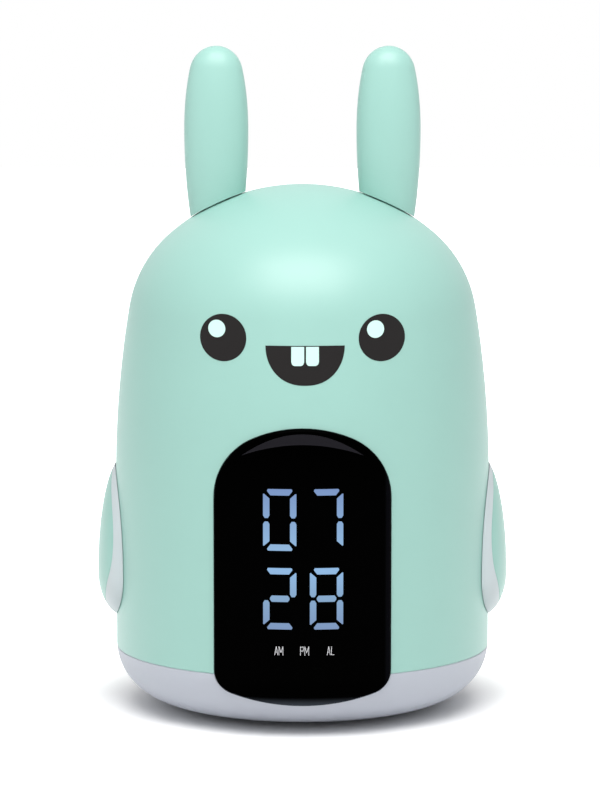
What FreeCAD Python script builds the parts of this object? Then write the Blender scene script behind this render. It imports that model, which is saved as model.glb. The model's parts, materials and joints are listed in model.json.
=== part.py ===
"""Children's alarm clock with a night light: a round body with two ears and two side paws.

Row frame: origin on the table under the middle of the body, +Z up, the display faces -Y,
and +X is to the right of someone who reads the display. All lengths are millimetres and
all angles are degrees. Every driving size is a cell of the sheet "sizes".
"""
import FreeCAD, Part
import math
import os

import Sketcher

V = FreeCAD.Vector
doc = FreeCAD.newDocument("alarm_clock")

# Driving sizes

SIZES = (
    ("body_radius", 61.0, "outer radius of the round body"),
    ("wall", 2.2, "wall of the dome and of the base"),
    ("side_start", 74.8, "height where the straight side starts to lean in"),
    ("side_bend", 341.0, "radius of the slow bend of the side"),
    ("side_sweep", 9.5, "angle of the slow bend"),
    ("shoulder_bend", 40.0, "radius of the shoulder"),
    ("shoulder_lean", 49.7, "angle where the shoulder becomes the crown"),
    ("bowl_start", 21.2, "height where the bowl of the base starts"),
    ("bowl_bend", 18.3, "radius of the bowl's upper bend"),
    ("bowl_lean", 51.3, "angle where the upper bend meets the lower one"),
    ("heel_bend", 23.3, "radius of the bowl's lower bend"),
    ("seam_height", 19.8, "height of the seam between base and dome"),
    ("seam_edge", 0.3, "chamfer of both edges at the seam"),
    ("seat_gap", 0.2, "gap at a seated curved face"),
    ("slip_gap", 0.3, "gap round a piece that slides in a hole"),
    ("lip_height", 3.0, "height of the base's lip inside the dome"),
    ("lip_wall", 1.6, "wall of that lip"),
    ("lens_half_width", 27.7, "half the width of the display window"),
    ("lens_bottom", 10.4, "lowest edge of the display window"),
    ("lens_top", 98.3, "highest edge of the display window"),
    ("arch_crown", 37.8, "radius of an arch's crown"),
    ("arch_haunch", 20.8, "radius of an arch's haunches"),
    ("arch_sill", 72.6, "radius of an arch's bottom edge"),
    ("arch_corner", 7.5, "radius of an arch's bottom corners"),
    ("lens_proud", 1.3, "how far the window stands out of the body"),
    ("lens_thickness", 2.2, "thickness of the window"),
    ("lens_edge", 1.0, "rounding of the window's rim"),
    ("frame_margin", 3.0, "how far the display frame reaches past the window"),
    ("frame_wall", 1.8, "wall of the display frame"),
    ("digit_height", 19.4, "height of one digit"),
    ("digit_width", 10.4, "width of one digit"),
    ("digit_pitch", 14.6, "distance from digit to digit"),
    ("digit_shift", 0.2, "how far the pair of digits stands right of the middle"),
    ("row_upper", 69.0, "height of the middle of the hours"),
    ("row_lower", 44.0, "height of the middle of the minutes"),
    ("mark_row", 27.4, "height of the middle of the three small marks"),
    ("segment_stroke", 2.0, "stroke of a digit's segment"),
    ("segment_gap", 0.3, "gap between neighbouring segments"),
    ("segment_depth", 1.0, "depth of a segment"),
    ("module_front", 55.0, "how far forward the face of the display module stands"),
    ("module_depth", 9.0, "depth of the display module"),
    ("module_half_width", 17.5, "half the width of the display module"),
    ("module_bottom", 23.6, "lowest edge of the display module"),
    ("module_top", 82.4, "highest edge of the display module"),
    ("board_thickness", 1.6, "thickness of a circuit board"),
    ("screw_radius", 1.25, "radius of a screw's shank"),
    ("screw_head_radius", 2.5, "radius of a screw's head"),
    ("screw_head_height", 1.6, "height of a screw's head"),
    ("screw_bite", 7.0, "how far a screw goes into its boss"),
    ("thread_gap", 0.05, "gap between a shank and its pilot hole"),
    ("boss_wall", 1.6, "wall of a screw boss"),
    ("ear_offset", 27.9, "distance of an ear from the middle"),
    ("ear_height", 188.4, "height of an ear's widest place"),
    ("ear_half_width", 10.4, "half the width of an ear"),
    ("ear_half_depth", 7.2, "half the depth of an ear"),
    ("ear_rise", 34.0, "from the widest place to the upper end of the long ellipse"),
    ("ear_drop", 48.5, "from the widest place to the lower ellipse's end"),
    ("ear_tip_start", 20.0, "from the widest place to the start of the blunt tip"),
    ("ear_tip_height", 7.0, "height of the blunt tip"),
    ("ear_wall", 1.8, "wall of an ear"),
    ("ear_gap", 0.3, "gap between an ear and the crown"),
    ("spigot_radius", 5.0, "radius of the ear's spigot"),
    ("spigot_length", 13.0, "depth of the ear's socket below the crown"),
    ("paw_height", 44.0, "height of a paw's widest place"),
    ("paw_centre", 58.0, "distance of a paw's inner plane from the middle"),
    ("paw_bulge", 9.0, "how far a paw stands out of that plane"),
    ("paw_half_width", 19.6, "half the width of a paw's ring"),
    ("paw_rise", 38.0, "from the widest place to the ring's top"),
    ("paw_drop", 15.0, "from the widest place to the ring's bottom"),
    ("key_half_width", 17.35, "half the width of a paw's key"),
    ("key_bottom", 33.4, "lowest edge of a paw's key"),
    ("key_top", 77.4, "highest edge of a paw's key"),
    ("key_tip_radius", 9.5, "radius of the key's upper end"),
    ("key_axis", 49.0, "height of the spring and the switch behind a paw's key"),
    ("key_travel", 1.2, "travel of a paw's key"),
    ("key_wall", 2.0, "wall of the key's skirt"),
    ("key_flange", 1.6, "how far the key's flange reaches past its skirt"),
    ("key_flange_thickness", 1.5, "thickness of that flange"),
    ("key_ceiling", 2.2, "how far the key's hollow reaches past the paw's inner plane"),
    ("collar_wall", 0.7, "wall of the collar by which a paw's ring sits in the dome"),
    ("paw_post_gap", 4.2, "from the key's flange to the middle of a board post"),
    ("stem_radius", 2.4, "radius of the stem that presses the switch"),
    ("spring_radius", 5.6, "mean radius of a key's return spring"),
    ("spring_wire", 0.5, "diameter of the spring's wire"),
    ("spring_turns", 6.0, "turns of the spring"),
    ("paw_board_place", 44.0, "distance of a paw's board from the middle"),
    ("switch_width", 6.0, "width of a push switch"),
    ("switch_height", 3.5, "height of a push switch"),
    ("plunger_radius", 1.7, "radius of its plunger"),
    ("plunger_height", 0.8, "height of its plunger"),
    ("rear_half_width", 26.0, "half the width of the rear panel"),
    ("rear_bottom", 26.0, "lowest edge of the rear panel"),
    ("rear_top", 96.0, "highest edge of the rear panel"),
    ("rear_rim", 5.0, "width of the rear panel's rim"),
    ("rear_seat", 52.7, "how far back the rear panel's back face stands"),
    ("rear_floor", 56.0, "how far back the floor of its recess stands"),
    ("button_radius", 4.0, "radius of a rear button"),
    ("button_proud", 1.2, "how far a rear button stands out of the recess"),
    ("button_travel", 0.8, "travel of a rear button"),
    ("button_rim", 1.2, "how far a rear button's flange reaches past its cap"),
    ("button_spacing", 13.0, "distance between the rear buttons of a row"),
    ("button_row_low", 70.0, "height of the row of three"),
    ("button_row_high", 80.5, "height of the row of two"),
    ("slider_place", 10.0, "middle of the alarm switch, right of the middle"),
    ("slider_row", 56.5, "height of the alarm switch"),
    ("slider_width", 3.6, "width of the alarm switch's knob"),
    ("slider_thickness", 2.6, "thickness of the alarm switch's knob"),
    ("slider_travel", 4.0, "travel of the alarm switch"),
    ("speaker_place", -8.0, "middle of the speaker"),
    ("speaker_row", 46.0, "height of the speaker"),
    ("speaker_radius", 10.0, "radius of the speaker"),
    ("grille_hole", 0.9, "radius of a hole of the grille"),
    ("jack_place", 14.0, "middle of the power socket"),
    ("jack_row", 42.5, "height of the power socket"),
    ("jack_bore", 2.8, "radius of the power socket's bore"),
    ("jack_depth", 9.0, "depth of the power socket's bore"),
    ("jack_pin", 1.0, "radius of the power socket's pin"),
    ("battery_radius", 5.2, "radius of a small battery cell"),
    ("battery_length", 44.5, "length of a small battery cell"),
    ("bay_half_width", 17.2, "half the width of the battery bay"),
    ("bay_half_length", 25.6, "half the length of the battery bay"),
    ("bay_wall", 1.5, "wall of the battery bay"),
    ("door_thickness", 1.8, "thickness of the battery door"),
    ("knuckle_radius", 1.1, "radius of the door's hinge knuckle"),
    ("pin_radius", 0.6, "radius of the door's hinge pins"),
    ("pin_length", 1.2, "length of the door's hinge pins"),
    ("foot_radius", 3.6, "radius of a rubber foot"),
    ("plug_radius", 2.2, "radius of a foot's plug"),
    ("plug_length", 1.3, "length of a foot's plug"),
    ("foot_across", 22.0, "distance of a foot from the middle, sideways"),
    ("foot_along", 18.0, "distance of a foot from the middle, lengthways"),
    ("cap_thickness", 1.5, "thickness of the cap over a case screw"),
    ("head_seat_drop", 4.8, "from the seam down to the seat of a case screw's head"),
    ("column_place", 36.8, "distance of a case screw from the middle, each way"),
    ("post_across", 32.0, "distance of a board post from the middle, sideways"),
    ("post_along", 22.0, "distance of a board post from the middle, lengthways"),
    ("post_radius", 3.0, "radius of a board post"),
    ("board_height", 22.0, "height of the main board's lower face"),
    ("light_height", 106.0, "height of the light frame's plate"),
    ("light_plate", 2.5, "thickness of the light frame's plate"),
    ("light_radius", 42.0, "radius of the light frame's plate"),
    ("light_board_radius", 28.0, "radius of the light board"),
    ("diffuser_radius", 34.0, "radius of the diffuser"),
    ("diffuser_height", 14.0, "height of the diffuser"),
    ("diffuser_wall", 1.5, "wall of the diffuser"),
)

sheet = doc.addObject("Spreadsheet::Sheet", "sizes")
for row, (alias, number, meaning) in enumerate(SIZES, start=1):
    sheet.set(f"A{row}", meaning)
    sheet.set(f"B{row}", str(number))
    sheet.setAlias(f"B{row}", alias)
doc.recompute()


class Size:
    """A length or an angle: its expression on the sheet, with its number."""

    def __init__(self, text, number):
        self.text = text
        self.number = number

    def __add__(self, other):
        other = as_size(other)
        return Size(f"({self.text} + {other.text})", self.number + other.number)

    def __sub__(self, other):
        other = as_size(other)
        return Size(f"({self.text} - {other.text})", self.number - other.number)

    def __mul__(self, other):
        other = as_size(other)
        return Size(f"({self.text} * {other.text})", self.number * other.number)

    def __truediv__(self, other):
        other = as_size(other)
        return Size(f"({self.text} / {other.text})", self.number / other.number)

    def __radd__(self, other):
        return as_size(other) + self

    def __rsub__(self, other):
        return as_size(other) - self

    def __rmul__(self, other):
        return as_size(other) * self

    def __neg__(self):
        return as_size(0.0) - self


def as_size(value):
    """The value itself if it is a Size, else a bare number as one."""
    if isinstance(value, Size):
        return value
    return Size(repr(float(value)), float(value))


def cosine(angle):
    return Size(f"cos({angle.text})", math.cos(math.radians(angle.number)))


def sine(angle):
    return Size(f"sin({angle.text})", math.sin(math.radians(angle.number)))


def arc_sine(value):
    return Size(f"asin({value.text})", math.degrees(math.asin(value.number)))


def root(value):
    return Size(f"sqrt({value.text})", math.sqrt(value.number))


def hypotenuse_leg(long_side, short_side):
    """The other leg of a right triangle."""
    return root(long_side * long_side - short_side * short_side)


class Sheet:
    """The driving sizes by name."""


d = Sheet()
for alias, number, meaning in SIZES:
    setattr(d, alias, Size(f"sizes.{alias}", float(getattr(sheet, alias))))

worked_sheet = doc.addObject("Spreadsheet::Sheet", "worked")
worked_rows = []


def worked(alias, size):
    """A worked-out size, kept as a formula of the second sheet."""
    worked_rows.append(alias)
    cell = f"B{len(worked_rows)}"
    worked_sheet.set(f"A{len(worked_rows)}", alias)
    worked_sheet.set(cell, f"={size.text}")
    worked_sheet.setAlias(cell, alias)
    return Size(f"worked.{alias}", size.number)


# Makers of primitives, outlines and booleans

FAR = 90.0
OVERLAP = 1.0
TURNS = {
    "Z": FreeCAD.Rotation(V(0, 0, 1), 0),
    "Y": FreeCAD.Rotation(V(1, 0, 0), -90),
    "X": FreeCAD.Rotation(V(0, 1, 0), 90),
}


def bind(item, **links):
    """Bind properties of an object to sizes."""
    for name, size in links.items():
        item.setExpression(name, as_size(size).text)
    return item


def put(item, at, turn=TURNS["Z"]):
    """Place an object at a point of sizes."""
    item.Placement = FreeCAD.Placement(V(0, 0, 0), turn)
    for letter, size in zip("xyz", at):
        item.setExpression(f"Placement.Base.{letter}", as_size(size).text)
    return item


def box(name, low, high):
    """A box between two corners."""
    item = doc.addObject("Part::Box", name)
    spans = [as_size(top) - bottom for bottom, top in zip(low, high)]
    bind(item, Length=spans[0], Width=spans[1], Height=spans[2])
    return put(item, low)


def rod(name, radius, length, at, along="Z"):
    """A cylinder that starts at a point and runs along a positive axis."""
    item = doc.addObject("Part::Cylinder", name)
    bind(item, Radius=radius, Height=length)
    return put(item, at, TURNS[along])


def cone(name, low_radius, high_radius, length, at, along="Z"):
    """A cone that starts at a point and runs along a positive axis."""
    item = doc.addObject("Part::Cone", name)
    bind(item, Radius1=low_radius, Radius2=high_radius, Height=length)
    return put(item, at, TURNS[along])


def fuse(name, *pieces):
    item = doc.addObject("Part::MultiFuse", name)
    item.Shapes = list(pieces)
    return item


def cut(name, base, *tools):
    item = doc.addObject("Part::Cut", name)
    item.Base = base
    item.Tool = tools[0] if len(tools) == 1 else fuse(f"{name}_tools", *tools)
    return item


def common(name, first, second):
    item = doc.addObject("Part::Common", name)
    item.Base = first
    item.Tool = second
    return item


def group(name, pieces):
    """Separate solids under one name."""
    item = doc.addObject("Part::Compound", name)
    item.Links = list(pieces)
    return item


def middle_of(edge):
    return edge.valueAt((edge.FirstParameter + edge.LastParameter) / 2)


def rounded_rim(name, source, radius, cores):
    """The source with some edges rounded: those whose middle lies in none of the cores."""
    doc.recompute()
    rim = []
    for number, edge in enumerate(source.Shape.Edges, start=1):
        inside = [core.Shape.isInside(middle_of(edge), 0.001, True) for core in cores]
        if not any(inside):
            rim.append((number, radius.number, radius.number))
    item = doc.addObject("Part::Fillet", name)
    item.Base = source
    item.Edges = rim
    return item


def bevelled_seam(name, source):
    """The source with a small chamfer on its widest edge at the seam."""
    doc.recompute()
    widest = 0.0
    for number, edge in enumerate(source.Shape.Edges, start=1):
        bounds = edge.BoundBox
        level = abs(bounds.ZMin - d.seam_height.number) < 0.01 and bounds.ZLength < 0.01
        if level and edge.Length > widest:
            widest = edge.Length
            rim = [(number, d.seam_edge.number, d.seam_edge.number)]
    item = doc.addObject("Part::Chamfer", name)
    item.Base = source
    item.Edges = rim
    return item


def mirrored(name, source):
    """The same piece on the other side of the middle plane."""
    item = doc.addObject("Part::Mirroring", name)
    item.Source = source
    item.Normal = V(1, 0, 0)
    item.Base = V(0, 0, 0)
    return item


def outline(body, role, corners, lift=0.0):
    """A closed sketch. Each corner is (x, y, bend), where bend shapes the edge to the next
    corner: None for a straight edge, or (centre x, centre y, radius, turn), where turn is
    +1 for an arc against the clock and -1 for one with it."""
    plane = next(item for item in body.Origin.OriginFeatures if item.Role == role)
    sketch = body.newObject("Sketcher::SketchObject", f"{body.Name}_outline")
    sketch.AttachmentSupport = [(plane, "")]
    sketch.MapMode = "FlatFace"
    bind(sketch, **{"AttachmentOffset.Base.z": lift})
    points = [V(as_size(x).number, as_size(y).number, 0) for x, y, bend in corners]
    ends = []
    for number, (x, y, bend) in enumerate(corners):
        start = points[number]
        finish = points[(number + 1) % len(points)]
        if bend is None:
            sketch.addGeometry(Part.LineSegment(start, finish), False)
            ends.append((1, 2))
            continue
        centre = V(as_size(bend[0]).number, as_size(bend[1]).number, 0)
        circle = Part.Circle(centre, V(0, 0, 1), as_size(bend[2]).number)
        pair = (start, finish) if bend[3] > 0 else (finish, start)
        angles = [math.atan2(point.y - centre.y, point.x - centre.x) for point in pair]
        if angles[1] < angles[0]:
            angles[1] += 2 * math.pi
        sketch.addGeometry(Part.ArcOfCircle(circle, *angles), False)
        ends.append((1, 2) if bend[3] > 0 else (2, 1))
    links = []
    for number in range(len(corners)):
        after = (number + 1) % len(corners)
        links.append(Sketcher.Constraint("Coincident", number, ends[number][1], after, ends[after][0]))
    bound = []
    for number, (x, y, bend) in enumerate(corners):
        for kind, size in (("DistanceX", as_size(x)), ("DistanceY", as_size(y))):
            links.append(Sketcher.Constraint(kind, -1, 1, number, ends[number][0], size.number))
            bound.append((len(links) - 1, size))
        if bend is not None:
            radius = as_size(bend[2])
            links.append(Sketcher.Constraint("Radius", number, radius.number))
            bound.append((len(links) - 1, radius))
    sketch.addConstraint(links)
    for index, size in bound:
        sketch.setExpression(f"Constraints[{index}]", size.text)
    return sketch


def turned(name, corners):
    """A body of revolution about Z from an outline of (radius, height) corners."""
    body = doc.addObject("PartDesign::Body", name)
    sketch = outline(body, "XZ_Plane", corners)
    feature = body.newObject("PartDesign::Revolution", f"{name}_turned")
    feature.Profile = sketch
    feature.ReferenceAxis = (sketch, ["V_Axis"])
    feature.Angle = 360
    return body


def slab(name, role, corners, lift, thickness):
    """A padded outline. It starts at lift and runs along the plane's own normal, which is
    +Z for XY_Plane, -Y for XZ_Plane and +X for YZ_Plane."""
    body = doc.addObject("PartDesign::Body", name)
    sketch = outline(body, role, corners, lift)
    feature = body.newObject("PartDesign::Pad", f"{name}_pad")
    feature.Profile = sketch
    bind(feature, Length=thickness)
    return body


def screw(name, at, length, along="Z", head_below=True):
    """A screw whose head bears on the plane of at, with the shank running on from it. The
    head lies below that plane, or above it with the shank running back."""
    tip = list(as_size(value) for value in at)
    back = list(tip)
    axis = "XYZ".index(along)
    if head_below:
        back[axis] = tip[axis] - d.screw_head_height
    else:
        back[axis] = tip[axis]
        tip[axis] = tip[axis] - length
    head = rod(f"{name}_head", d.screw_head_radius, d.screw_head_height, back, along)
    shank = rod(f"{name}_shank", d.screw_radius, length, tip, along)
    return fuse(name, head, shank)


PILOT = d.screw_radius + d.thread_gap
FREE_HOLE = d.screw_radius + d.slip_gap
NODES = {}


def keep(node, item):
    """Name an object as one finished sub-part."""
    item.Label = node
    NODES[node] = item
    return item


# The body's surface: flat bottom, heel, bowl, straight side, side bend, shoulder and crown

side_end_radius = worked("side_end_radius", d.body_radius - d.side_bend * (1 - cosine(d.side_sweep)))
side_end_height = worked("side_end_height", d.side_start + d.side_bend * sine(d.side_sweep))
shoulder_radius = worked(
    "shoulder_radius",
    side_end_radius - d.shoulder_bend * (cosine(d.side_sweep) - cosine(d.shoulder_lean)),
)
shoulder_height = worked(
    "shoulder_height",
    side_end_height + d.shoulder_bend * (sine(d.shoulder_lean) - sine(d.side_sweep)),
)
crown_bend = worked("crown_bend", shoulder_radius / cosine(d.shoulder_lean))
crown_centre = worked("crown_centre", shoulder_height - crown_bend * sine(d.shoulder_lean))
bowl_end_radius = worked("bowl_end_radius", d.body_radius - d.bowl_bend * (1 - cosine(d.bowl_lean)))
bowl_end_height = worked("bowl_end_height", d.bowl_start - d.bowl_bend * sine(d.bowl_lean))
flat_radius = worked("flat_radius", bowl_end_radius - d.heel_bend * cosine(d.bowl_lean))
heel_height = worked("heel_height", bowl_end_height + d.heel_bend * sine(d.bowl_lean))
body_bottom = worked("body_bottom", heel_height - d.heel_bend)


def body_solid(name, grow):
    """The whole body, solid, with its surface moved out by grow."""
    lean = (cosine(d.shoulder_lean), sine(d.shoulder_lean))
    side = (cosine(d.side_sweep), sine(d.side_sweep))
    bowl = (cosine(d.bowl_lean), sine(d.bowl_lean))
    side_centre = d.body_radius - d.side_bend
    shoulder_centre = (
        side_end_radius - d.shoulder_bend * side[0],
        side_end_height - d.shoulder_bend * side[1],
    )
    bowl_centre = d.body_radius - d.bowl_bend
    corners = [
        (0, body_bottom - grow, None),
        (flat_radius, body_bottom - grow, (flat_radius, heel_height, d.heel_bend + grow, 1)),
        (
            bowl_end_radius + grow * bowl[0],
            bowl_end_height - grow * bowl[1],
            (bowl_centre, d.bowl_start, d.bowl_bend + grow, 1),
        ),
        (d.body_radius + grow, d.bowl_start, None),
        (d.body_radius + grow, d.side_start, (side_centre, d.side_start, d.side_bend + grow, 1)),
        (
            side_end_radius + grow * side[0],
            side_end_height + grow * side[1],
            (shoulder_centre[0], shoulder_centre[1], d.shoulder_bend + grow, 1),
        ),
        (
            shoulder_radius + grow * lean[0],
            shoulder_height + grow * lean[1],
            (0, crown_centre, crown_bend + grow, 1),
        ),
        (0, crown_centre + crown_bend + grow, None),
    ]
    return turned(name, corners)


def arch(name, half_width, bottom, top, grow, start, length):
    """A slab with an arched top and a gently curved sill, padded towards the front."""
    half = half_width + grow
    haunch = d.arch_haunch + grow
    crown = d.arch_crown + grow
    corner = d.arch_corner + grow
    sill = d.arch_sill + grow
    crown_middle = top + grow - crown
    haunch_side = half - haunch
    haunch_middle = crown_middle + hypotenuse_leg(crown - haunch, haunch_side)
    crown_share = crown / (crown - haunch)
    spring_x = haunch_side * crown_share
    spring_z = crown_middle + (haunch_middle - crown_middle) * crown_share
    sill_middle = bottom - grow + sill
    corner_side = half - corner
    corner_middle = sill_middle - hypotenuse_leg(sill - corner, corner_side)
    sill_share = sill / (sill - corner)
    sill_x = corner_side * sill_share
    sill_z = sill_middle - (sill_middle - corner_middle) * sill_share
    corners = [
        (-sill_x, sill_z, (0, sill_middle, sill, 1)),
        (sill_x, sill_z, (corner_side, corner_middle, corner, 1)),
        (half, corner_middle, None),
        (half, haunch_middle, (haunch_side, haunch_middle, haunch, 1)),
        (spring_x, spring_z, (0, crown_middle, crown, 1)),
        (-spring_x, spring_z, (-haunch_side, haunch_middle, haunch, 1)),
        (-half, haunch_middle, None),
        (-half, corner_middle, (-corner_side, corner_middle, corner, 1)),
    ]
    return slab(name, "XZ_Plane", corners, start, length)


def front_arch(name, grow):
    """The display window's outline, from the middle out through the front."""
    return arch(name, d.lens_half_width, d.lens_bottom, d.lens_top, as_size(grow), 0.0, FAR)


def rear_arch(name, grow, start):
    """The rear panel's outline, from start out through the back."""
    reach = as_size(start) - FAR
    edges = (d.rear_half_width, d.rear_bottom, d.rear_top)
    return arch(name, *edges, as_size(grow), -as_size(FAR), -reach)


outer_body = body_solid("outer_body", as_size(0.0))
inner_body = body_solid("inner_body", -d.wall)
proud_body = body_solid("proud_body", d.lens_proud)

# Places that several pieces share

SIDES = ((1, 1), (-1, 1), (-1, -1), (1, -1))
floor_top = body_bottom + d.wall
board_top = d.board_height + d.board_thickness
crown_at_ear = crown_centre + hypotenuse_leg(crown_bend, d.ear_offset)
socket_floor = crown_at_ear - d.spigot_length
key_flange_front = hypotenuse_leg(d.body_radius - d.wall, d.key_half_width + d.key_flange) - d.slip_gap
paw_board_face = d.paw_board_place + d.board_thickness
paw_plunger_tip = paw_board_face + d.switch_height + d.plunger_height
paw_post_place = d.key_half_width + d.key_flange + d.paw_post_gap
rear_plunger_gap = d.button_travel + d.slip_gap
button_flange_back = d.rear_seat - d.seat_gap - d.key_flange_thickness
rear_board_face = button_flange_back - rear_plunger_gap - d.plunger_height - d.switch_height
column_head_seat = d.seam_height - d.head_seat_drop
display_board_front = d.module_front - d.module_depth
light_top = d.light_height + d.light_plate


def egg(name, grow, start, length):
    """A slab with the outline of a paw's key: a round lower end, two long sides and a
    smaller upper end, padded along +X."""
    half = d.key_half_width + grow
    low_centre = d.key_bottom + d.key_half_width
    tip = d.key_tip_radius + grow
    tip_centre = d.key_top - d.key_tip_radius
    rise = tip_centre - low_centre
    narrowing = half - tip
    side = (rise * rise + half * half - tip * tip) / (narrowing * 2)
    share = side / (side - tip)
    side_centre = half - side
    tip_y = side_centre - side_centre * share
    tip_z = low_centre + rise * share
    corners = [
        (0, low_centre - half, (0, low_centre, half, 1)),
        (half, low_centre, (side_centre, low_centre, side, 1)),
        (tip_y, tip_z, (0, tip_centre, tip, 1)),
        (-tip_y, tip_z, (-side_centre, low_centre, side, 1)),
        (-half, low_centre, (0, low_centre, half, 1)),
    ]
    return slab(name, "YZ_Plane", corners, start, length)


def zone(name, centre, halves, low, high):
    """The part of an ellipsoid between two latitudes, measured as on the sphere that is
    stretched into it."""
    item = doc.addObject("Part::Ellipsoid", name)
    half_x, half_y, half_z = halves
    bind(item, Radius1=half_z, Radius2=half_x, Radius3=half_y, Angle1=low, Angle2=high)
    return put(item, centre)


def tall_oval(name, centre, half_x, half_y, rise, drop):
    """Two half ellipsoids that meet at their widest section."""
    top = zone(f"{name}_top", centre, (half_x, half_y, rise), 0.0, 90.0)
    low = zone(f"{name}_low", centre, (half_x, half_y, drop), -90.0, 0.0)
    return fuse(name, top, low)


def ring_box(name, low_height, high_height):
    """A box wider than the body between two heights."""
    return box(name, (-FAR, -FAR, low_height), (FAR, FAR, high_height))


# Dome: one shell with the ear sockets, screw bosses, lugs and board posts inside it

dome_wall = cut("dome_wall", outer_body, inner_body)
dome_extras = []
dome_holes = []
below_seam = ring_box("below_seam", -FAR, d.seam_height)
dome_outside = bevelled_seam("dome_outside", cut("dome_outside_sharp", outer_body, below_seam))
for number, (across, along) in enumerate(SIDES):
    centre = (d.column_place * across, d.column_place * along)
    boss_radius = PILOT + d.boss_wall + d.bay_wall
    boss_length = d.screw_bite + d.seam_height - column_head_seat
    base = (centre[0], centre[1], d.seam_height)
    dome_extras.append(rod(f"case_boss_{number}", boss_radius, boss_length * 2, base))
    rib = doc.addObject("Part::Box", f"case_rib_{number}")
    bind(rib, Length=d.body_radius, Width=d.wall, Height=boss_length * 2 - d.lip_height * 2)
    rib_turn = FreeCAD.Rotation(V(0, 0, 1), math.degrees(math.atan2(along, across)))
    put(rib, (centre[0], centre[1], d.seam_height + d.lip_height * 2), rib_turn)
    dome_extras.append(rib)
    dome_holes.append(rod(f"case_pilot_{number}", PILOT, boss_length, base))

for side in (1, -1):
    tag = "right" if side > 0 else "left"
    ear_x = d.ear_offset * side
    floor = socket_floor - d.wall
    socket_radius = d.spigot_radius + d.seat_gap + d.wall
    socket_depth = crown_at_ear - floor
    dome_extras.append(rod(f"ear_socket_{tag}", socket_radius, socket_depth, (ear_x, 0, floor)))
    hole_radius = d.spigot_radius + d.seat_gap
    hole_at = (ear_x, 0, socket_floor)
    dome_holes.append(rod(f"ear_hole_{tag}", hole_radius, FAR, hole_at))
    dome_holes.append(rod(f"ear_screw_hole_{tag}", FREE_HOLE, FAR, (ear_x, 0, floor - d.wall)))
    post_start = paw_board_face if side > 0 else -d.body_radius
    post_length = d.body_radius - paw_board_face
    for across in (1, -1):
        post_at = (post_start, paw_post_place * across, d.key_axis)
        post_radius = PILOT + d.boss_wall
        name = f"paw_post_{tag}_{'back' if across > 0 else 'front'}"
        dome_extras.append(rod(name, post_radius, post_length, post_at, "X"))
        pilot_start = paw_board_face if side > 0 else -paw_board_face - d.screw_bite
        pilot_at = (pilot_start, post_at[1], post_at[2])
        dome_holes.append(rod(f"{name}_pilot", PILOT, d.screw_bite, pilot_at, "X"))

LUG_HALF = 4.0
LUG_DEPTH = 3.7
LUG_DROP = 3.2
REAR_SCREW_INSET = 7.0
rear_screw_across = d.rear_half_width - d.rear_rim - d.bay_wall - d.wall
rear_screws = (
    ("left", -rear_screw_across, d.rear_bottom + REAR_SCREW_INSET),
    ("right", rear_screw_across, d.rear_bottom + REAR_SCREW_INSET),
    ("top", as_size(0.0), d.rear_top - REAR_SCREW_INSET),
)
for tag, x, z in rear_screws:
    if tag == "top":
        low = (-LUG_HALF, d.rear_seat - LUG_DEPTH, z - LUG_DROP)
        high = (LUG_HALF, d.rear_seat, d.rear_top + LUG_HALF)
        root_low = (-LUG_HALF, d.rear_seat - LUG_DEPTH, d.rear_top + d.slip_gap * 2)
        root_high = (LUG_HALF, d.body_radius, d.rear_top + LUG_HALF)
        dome_extras.append(box("rear_lug_top_root", root_low, root_high))
    else:
        side = 1 if tag == "right" else -1
        near = x * side - LUG_HALF
        far = d.rear_half_width + LUG_HALF
        ends = (near, far) if side > 0 else (-far, -near)
        low = (ends[0], d.rear_seat - LUG_DEPTH, z - LUG_HALF)
        high = (ends[1], d.rear_seat, z + LUG_HALF)
    dome_extras.append(box(f"rear_lug_{tag}", low, high))
    lug_pilot_at = (x, d.rear_seat - LUG_DEPTH - OVERLAP / 2, z)
    lug_pilot = rod(f"rear_lug_pilot_{tag}", PILOT, LUG_DEPTH + OVERLAP, lug_pilot_at, "Y")
    dome_holes.append(lug_pilot)

dome_holes.append(front_arch("window_hole", d.seat_gap))
dome_holes.append(rear_arch("panel_hole", d.seat_gap, d.rear_seat))
key_hole_grow = d.slip_gap + d.collar_wall + d.seat_gap
key_hole_length = as_size(FAR) - d.paw_board_place
key_hole_right = egg("key_hole_right", key_hole_grow, d.paw_board_place, key_hole_length)
dome_holes.append(key_hole_right)
dome_holes.append(mirrored("key_hole_left", key_hole_right))
dome_full = fuse("dome_full", dome_wall, *dome_extras)
dome_trimmed = common("dome_trimmed", dome_full, dome_outside)
keep("dome_shell", cut("dome_shell", dome_trimmed, *dome_holes))

# Base: a bowl with a lip, screw columns, board posts and the battery bay

above_seam = ring_box("above_seam", d.seam_height, d.seam_height + FAR * 2)
base_outside = bevelled_seam("base_outside", cut("base_outside_sharp", outer_body, above_seam))
base_low = cut("base_low", base_outside, inner_body)
lip_radius = d.body_radius - d.wall - d.seat_gap
lip_foot = d.seam_height - d.lip_height
lip_disc = rod("lip_disc", lip_radius, d.lip_height * 2, (0, 0, lip_foot))
lip_hole = rod("lip_hole", lip_radius - d.lip_wall, d.lip_height * 2, (0, 0, lip_foot))
lip_notch = front_arch("lip_notch", d.frame_margin + d.slip_gap * 4)
lip_ring = cut("lip_ring", lip_disc, lip_hole, lip_notch)
bay_roof = body_bottom + d.door_thickness + d.slip_gap * 2 + d.battery_radius * 2 + d.slip_gap
bay_low = (-(d.bay_half_width + d.bay_wall), -(d.bay_half_length + d.bay_wall), body_bottom)
bay_high = (d.bay_half_width + d.bay_wall, d.bay_half_length + d.bay_wall, bay_roof + d.bay_wall)
base_extras = [lip_ring, box("bay_block", bay_low, bay_high)]
base_holes = [
    box(
        "bay_hollow",
        (-d.bay_half_width, -d.bay_half_length, body_bottom - OVERLAP),
        (d.bay_half_width, d.bay_half_length, bay_roof),
    ),
    front_arch("window_sill_hole", d.seat_gap),
]
well_radius = d.screw_head_radius + d.slip_gap
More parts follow.
